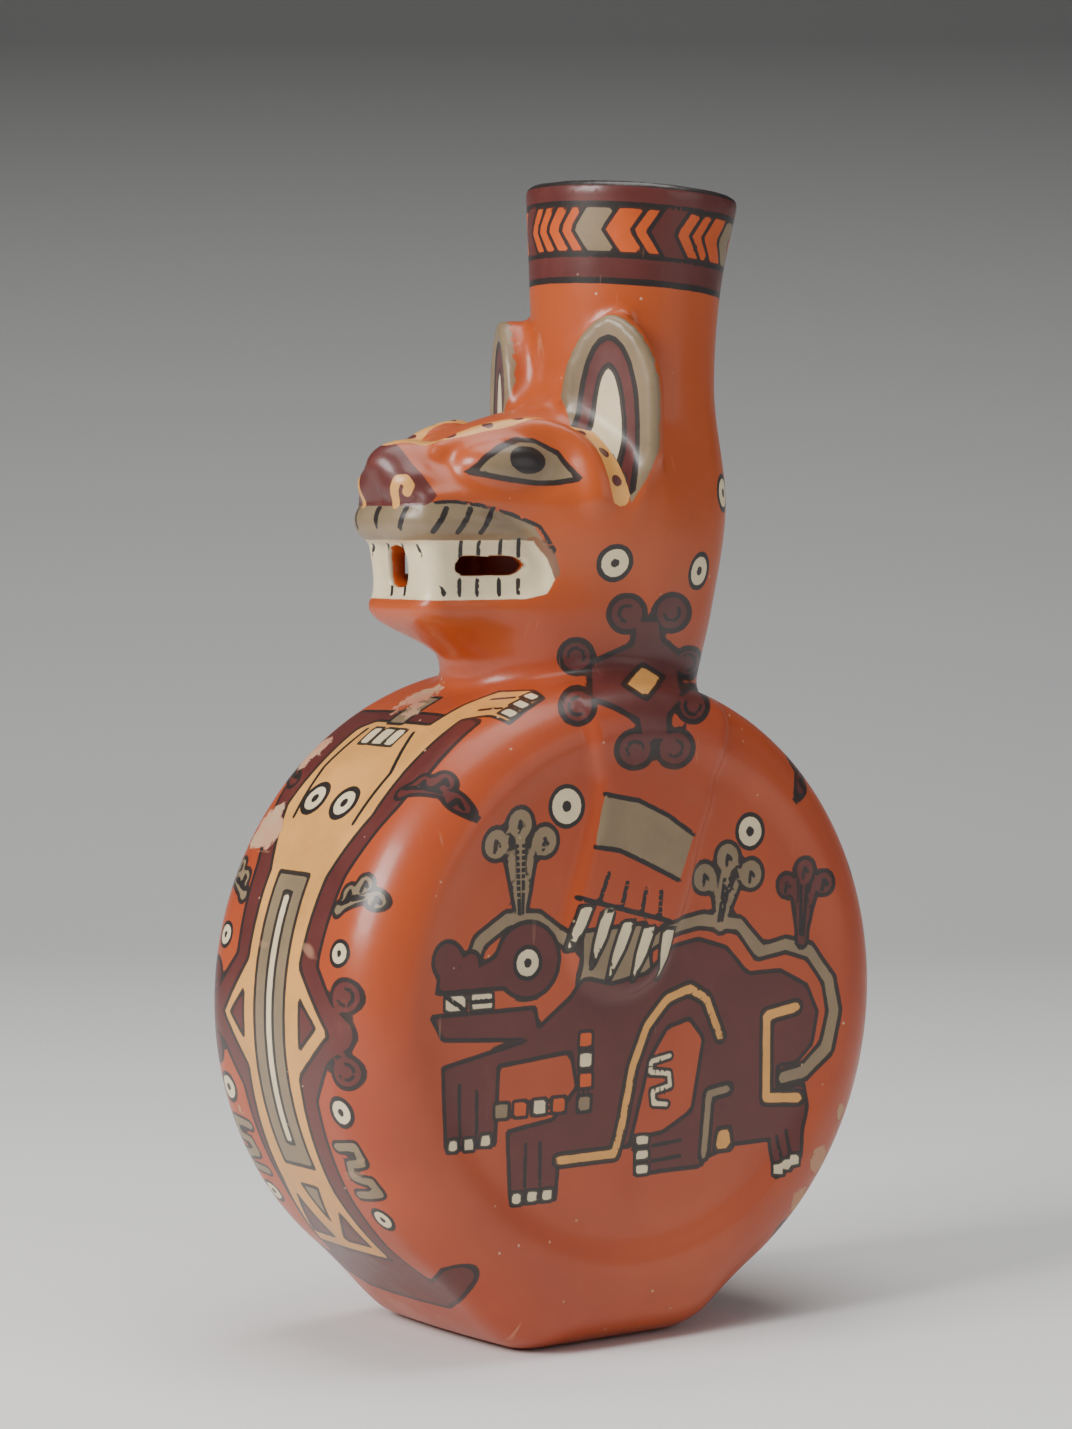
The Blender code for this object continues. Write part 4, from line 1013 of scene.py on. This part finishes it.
# Places where the slip has come off, at the upper front edge and low on the back: the middle
# of each and how far it reaches, in millimetres
WORN_PLACES = ((-8, -40, 182, 17), (-25, -75, 140, 13), (-27, -84, 66, 9), (-30, -60, 163, 11),
               (43, 66, 45, 8), (40, 60, 34, 8), (44, 75, 58, 6))
MOST_WORN = 0.62
worn = np.zeros(len(bottle.data.vertices))
for *middle, reach in WORN_PLACES:
    away = np.linalg.norm(MM * points_of(bottle.data) - middle, axis=1)
    worn = np.maximum(worn, 1.0 - away / reach)
worn_share = bottle.data.attributes.new("worn", "FLOAT", "POINT")
worn_share.data.foreach_set("value", MOST_WORN * np.sqrt(worn))

bottle.data.shade_smooth()
bottle.data.materials.append(slip.material)
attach(bottle, "root")
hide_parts("Bottle")


# The ground it stands on: a pale sweep of matt paper, level under the bottle and
# rising behind it in one long curve. It isn't part of the bottle. Its colour is painted darker
# towards the back and up the curve, as painted shade where the lamps' light falls off.

PAPER_WIDTH = 5.0
PAPER_FRONT = 1.6
PAPER_BACK = 0.9
PAPER_RADIUS = 0.8
PAPER_HEIGHT = 2.4
PAPER_STEPS = 16
VIEW_TURN = math.radians(54.02)
# Painted shade on the paper: how its colour darkens further back and higher up the curve
FLOOR_PAINTED_FALLOFF = (-0.25, 0.95, 0.93, 0.66)
WALL_PAINTED_FALLOFF = (0.0, 0.56, 1.0, 0.17)

bpy.ops.object.select_all(action="DESELECT")
bpy.ops.mesh.primitive_plane_add(size=1.0, location=(0.0, 0.0, 0.0))
paper = bpy.context.active_object
paper.name = "PaperSweep"
shape = bmesh.new()
line = [(-PAPER_FRONT, 0.0), (PAPER_BACK, 0.0)]
for i in range(1, PAPER_STEPS + 1):
    turn = 0.5 * math.pi * i / PAPER_STEPS
    line.append((PAPER_BACK + PAPER_RADIUS * math.sin(turn), PAPER_RADIUS * (1.0 - math.cos(turn))))
line.append((PAPER_BACK + PAPER_RADIUS, PAPER_HEIGHT))
away = Vector((-math.sin(VIEW_TURN), math.cos(VIEW_TURN), 0.0))
along = Vector((math.cos(VIEW_TURN), math.sin(VIEW_TURN), 0.0))
rows = []
for distance, height in line:
    middle = away * distance + Vector((0.0, 0.0, height))
    rows.append([shape.verts.new(middle + side * 0.5 * PAPER_WIDTH * along) for side in (-1.0, 1.0)])
for lower, upper in zip(rows[:-1], rows[1:]):
    shape.faces.new((lower[0], lower[1], upper[1], upper[0]))
shape.to_mesh(paper.data)
shape.free()
paper.data.shade_smooth()

matt = Finish("PalePaper")
spot = matt.node("ShaderNodeTexCoord", {}, [], "Object")
height = matt.node("ShaderNodeSeparateXYZ", {}, [spot], "Z")
depth = matt.node("ShaderNodeVectorMath", {"operation": "DOT_PRODUCT"}, [spot, tuple(away)], "Value")
# Painted light fall-off: bright in front, darker behind and darker still up the curve
tone = ramp(depth, *FLOOR_PAINTED_FALLOFF) * ramp(height, *WALL_PAINTED_FALLOFF)
matt.set("Base Color", matt.node("ShaderNodeCombineColor", {}, [tone, tone, tone * 0.99]))
matt.set("Roughness", 0.9)
paper.data.materials.append(matt.material)


# Soft studio light, as lamps behind diffusing cloth give it: a strong one in front of the bottle,
# a weak one behind it on the right and a wide one above. The lamps aren't part of the bottle.

DAYLIGHT = (1.0, 0.985, 0.96)
MIDDLE = Vector((0.0, 0.0, 0.16))
SKY_TONE = (0.9, 0.93, 1.0, 1.0)
SKY_STRENGTH = 0.22


def lamp(name, place, size, power):
    """A soft square lamp aimed at the middle of the bottle."""
    light = bpy.data.lights.new(name, "AREA")
    light.size = size
    light.energy = power
    light.color = DAYLIGHT
    holder = bpy.data.objects.new(name, light)
    holder.location = place
    holder.rotation_euler = (MIDDLE - Vector(place)).to_track_quat("-Z", "Y").to_euler()
    bpy.context.scene.collection.objects.link(holder)


lamp("KeyLamp", (0.05, -1.35, 0.95), 0.70, 25.0)
lamp("FillLamp", (1.5, 0.7, 0.7), 1.0, 3.0)
lamp("TopLamp", (0.0, 0.1, 1.6), 1.2, 16.0)

sky = bpy.data.worlds.new("Studio")
sky.use_nodes = True
sky.node_tree.nodes["Background"].inputs["Color"].default_value = SKY_TONE
sky.node_tree.nodes["Background"].inputs["Strength"].default_value = SKY_STRENGTH
bpy.context.scene.world = sky


# The camera stands at the photograph's viewing angle, a little above the middle of the bottle.

CAMERA_PLACE = (0.88194, -0.6443, 0.2332)
CAMERA_TURN = (math.radians(86.857), 0.0, math.radians(54.02))
CAMERA_LENS = 97.107

eye = bpy.data.cameras.new("Camera")
eye.lens = CAMERA_LENS
eye.sensor_fit = "VERTICAL"
eye.sensor_height = 36.0
eye.clip_start = 0.05
camera = bpy.data.objects.new("Camera", eye)
camera.location = CAMERA_PLACE
camera.rotation_euler = CAMERA_TURN
bpy.context.scene.collection.objects.link(camera)
bpy.context.scene.camera = camera
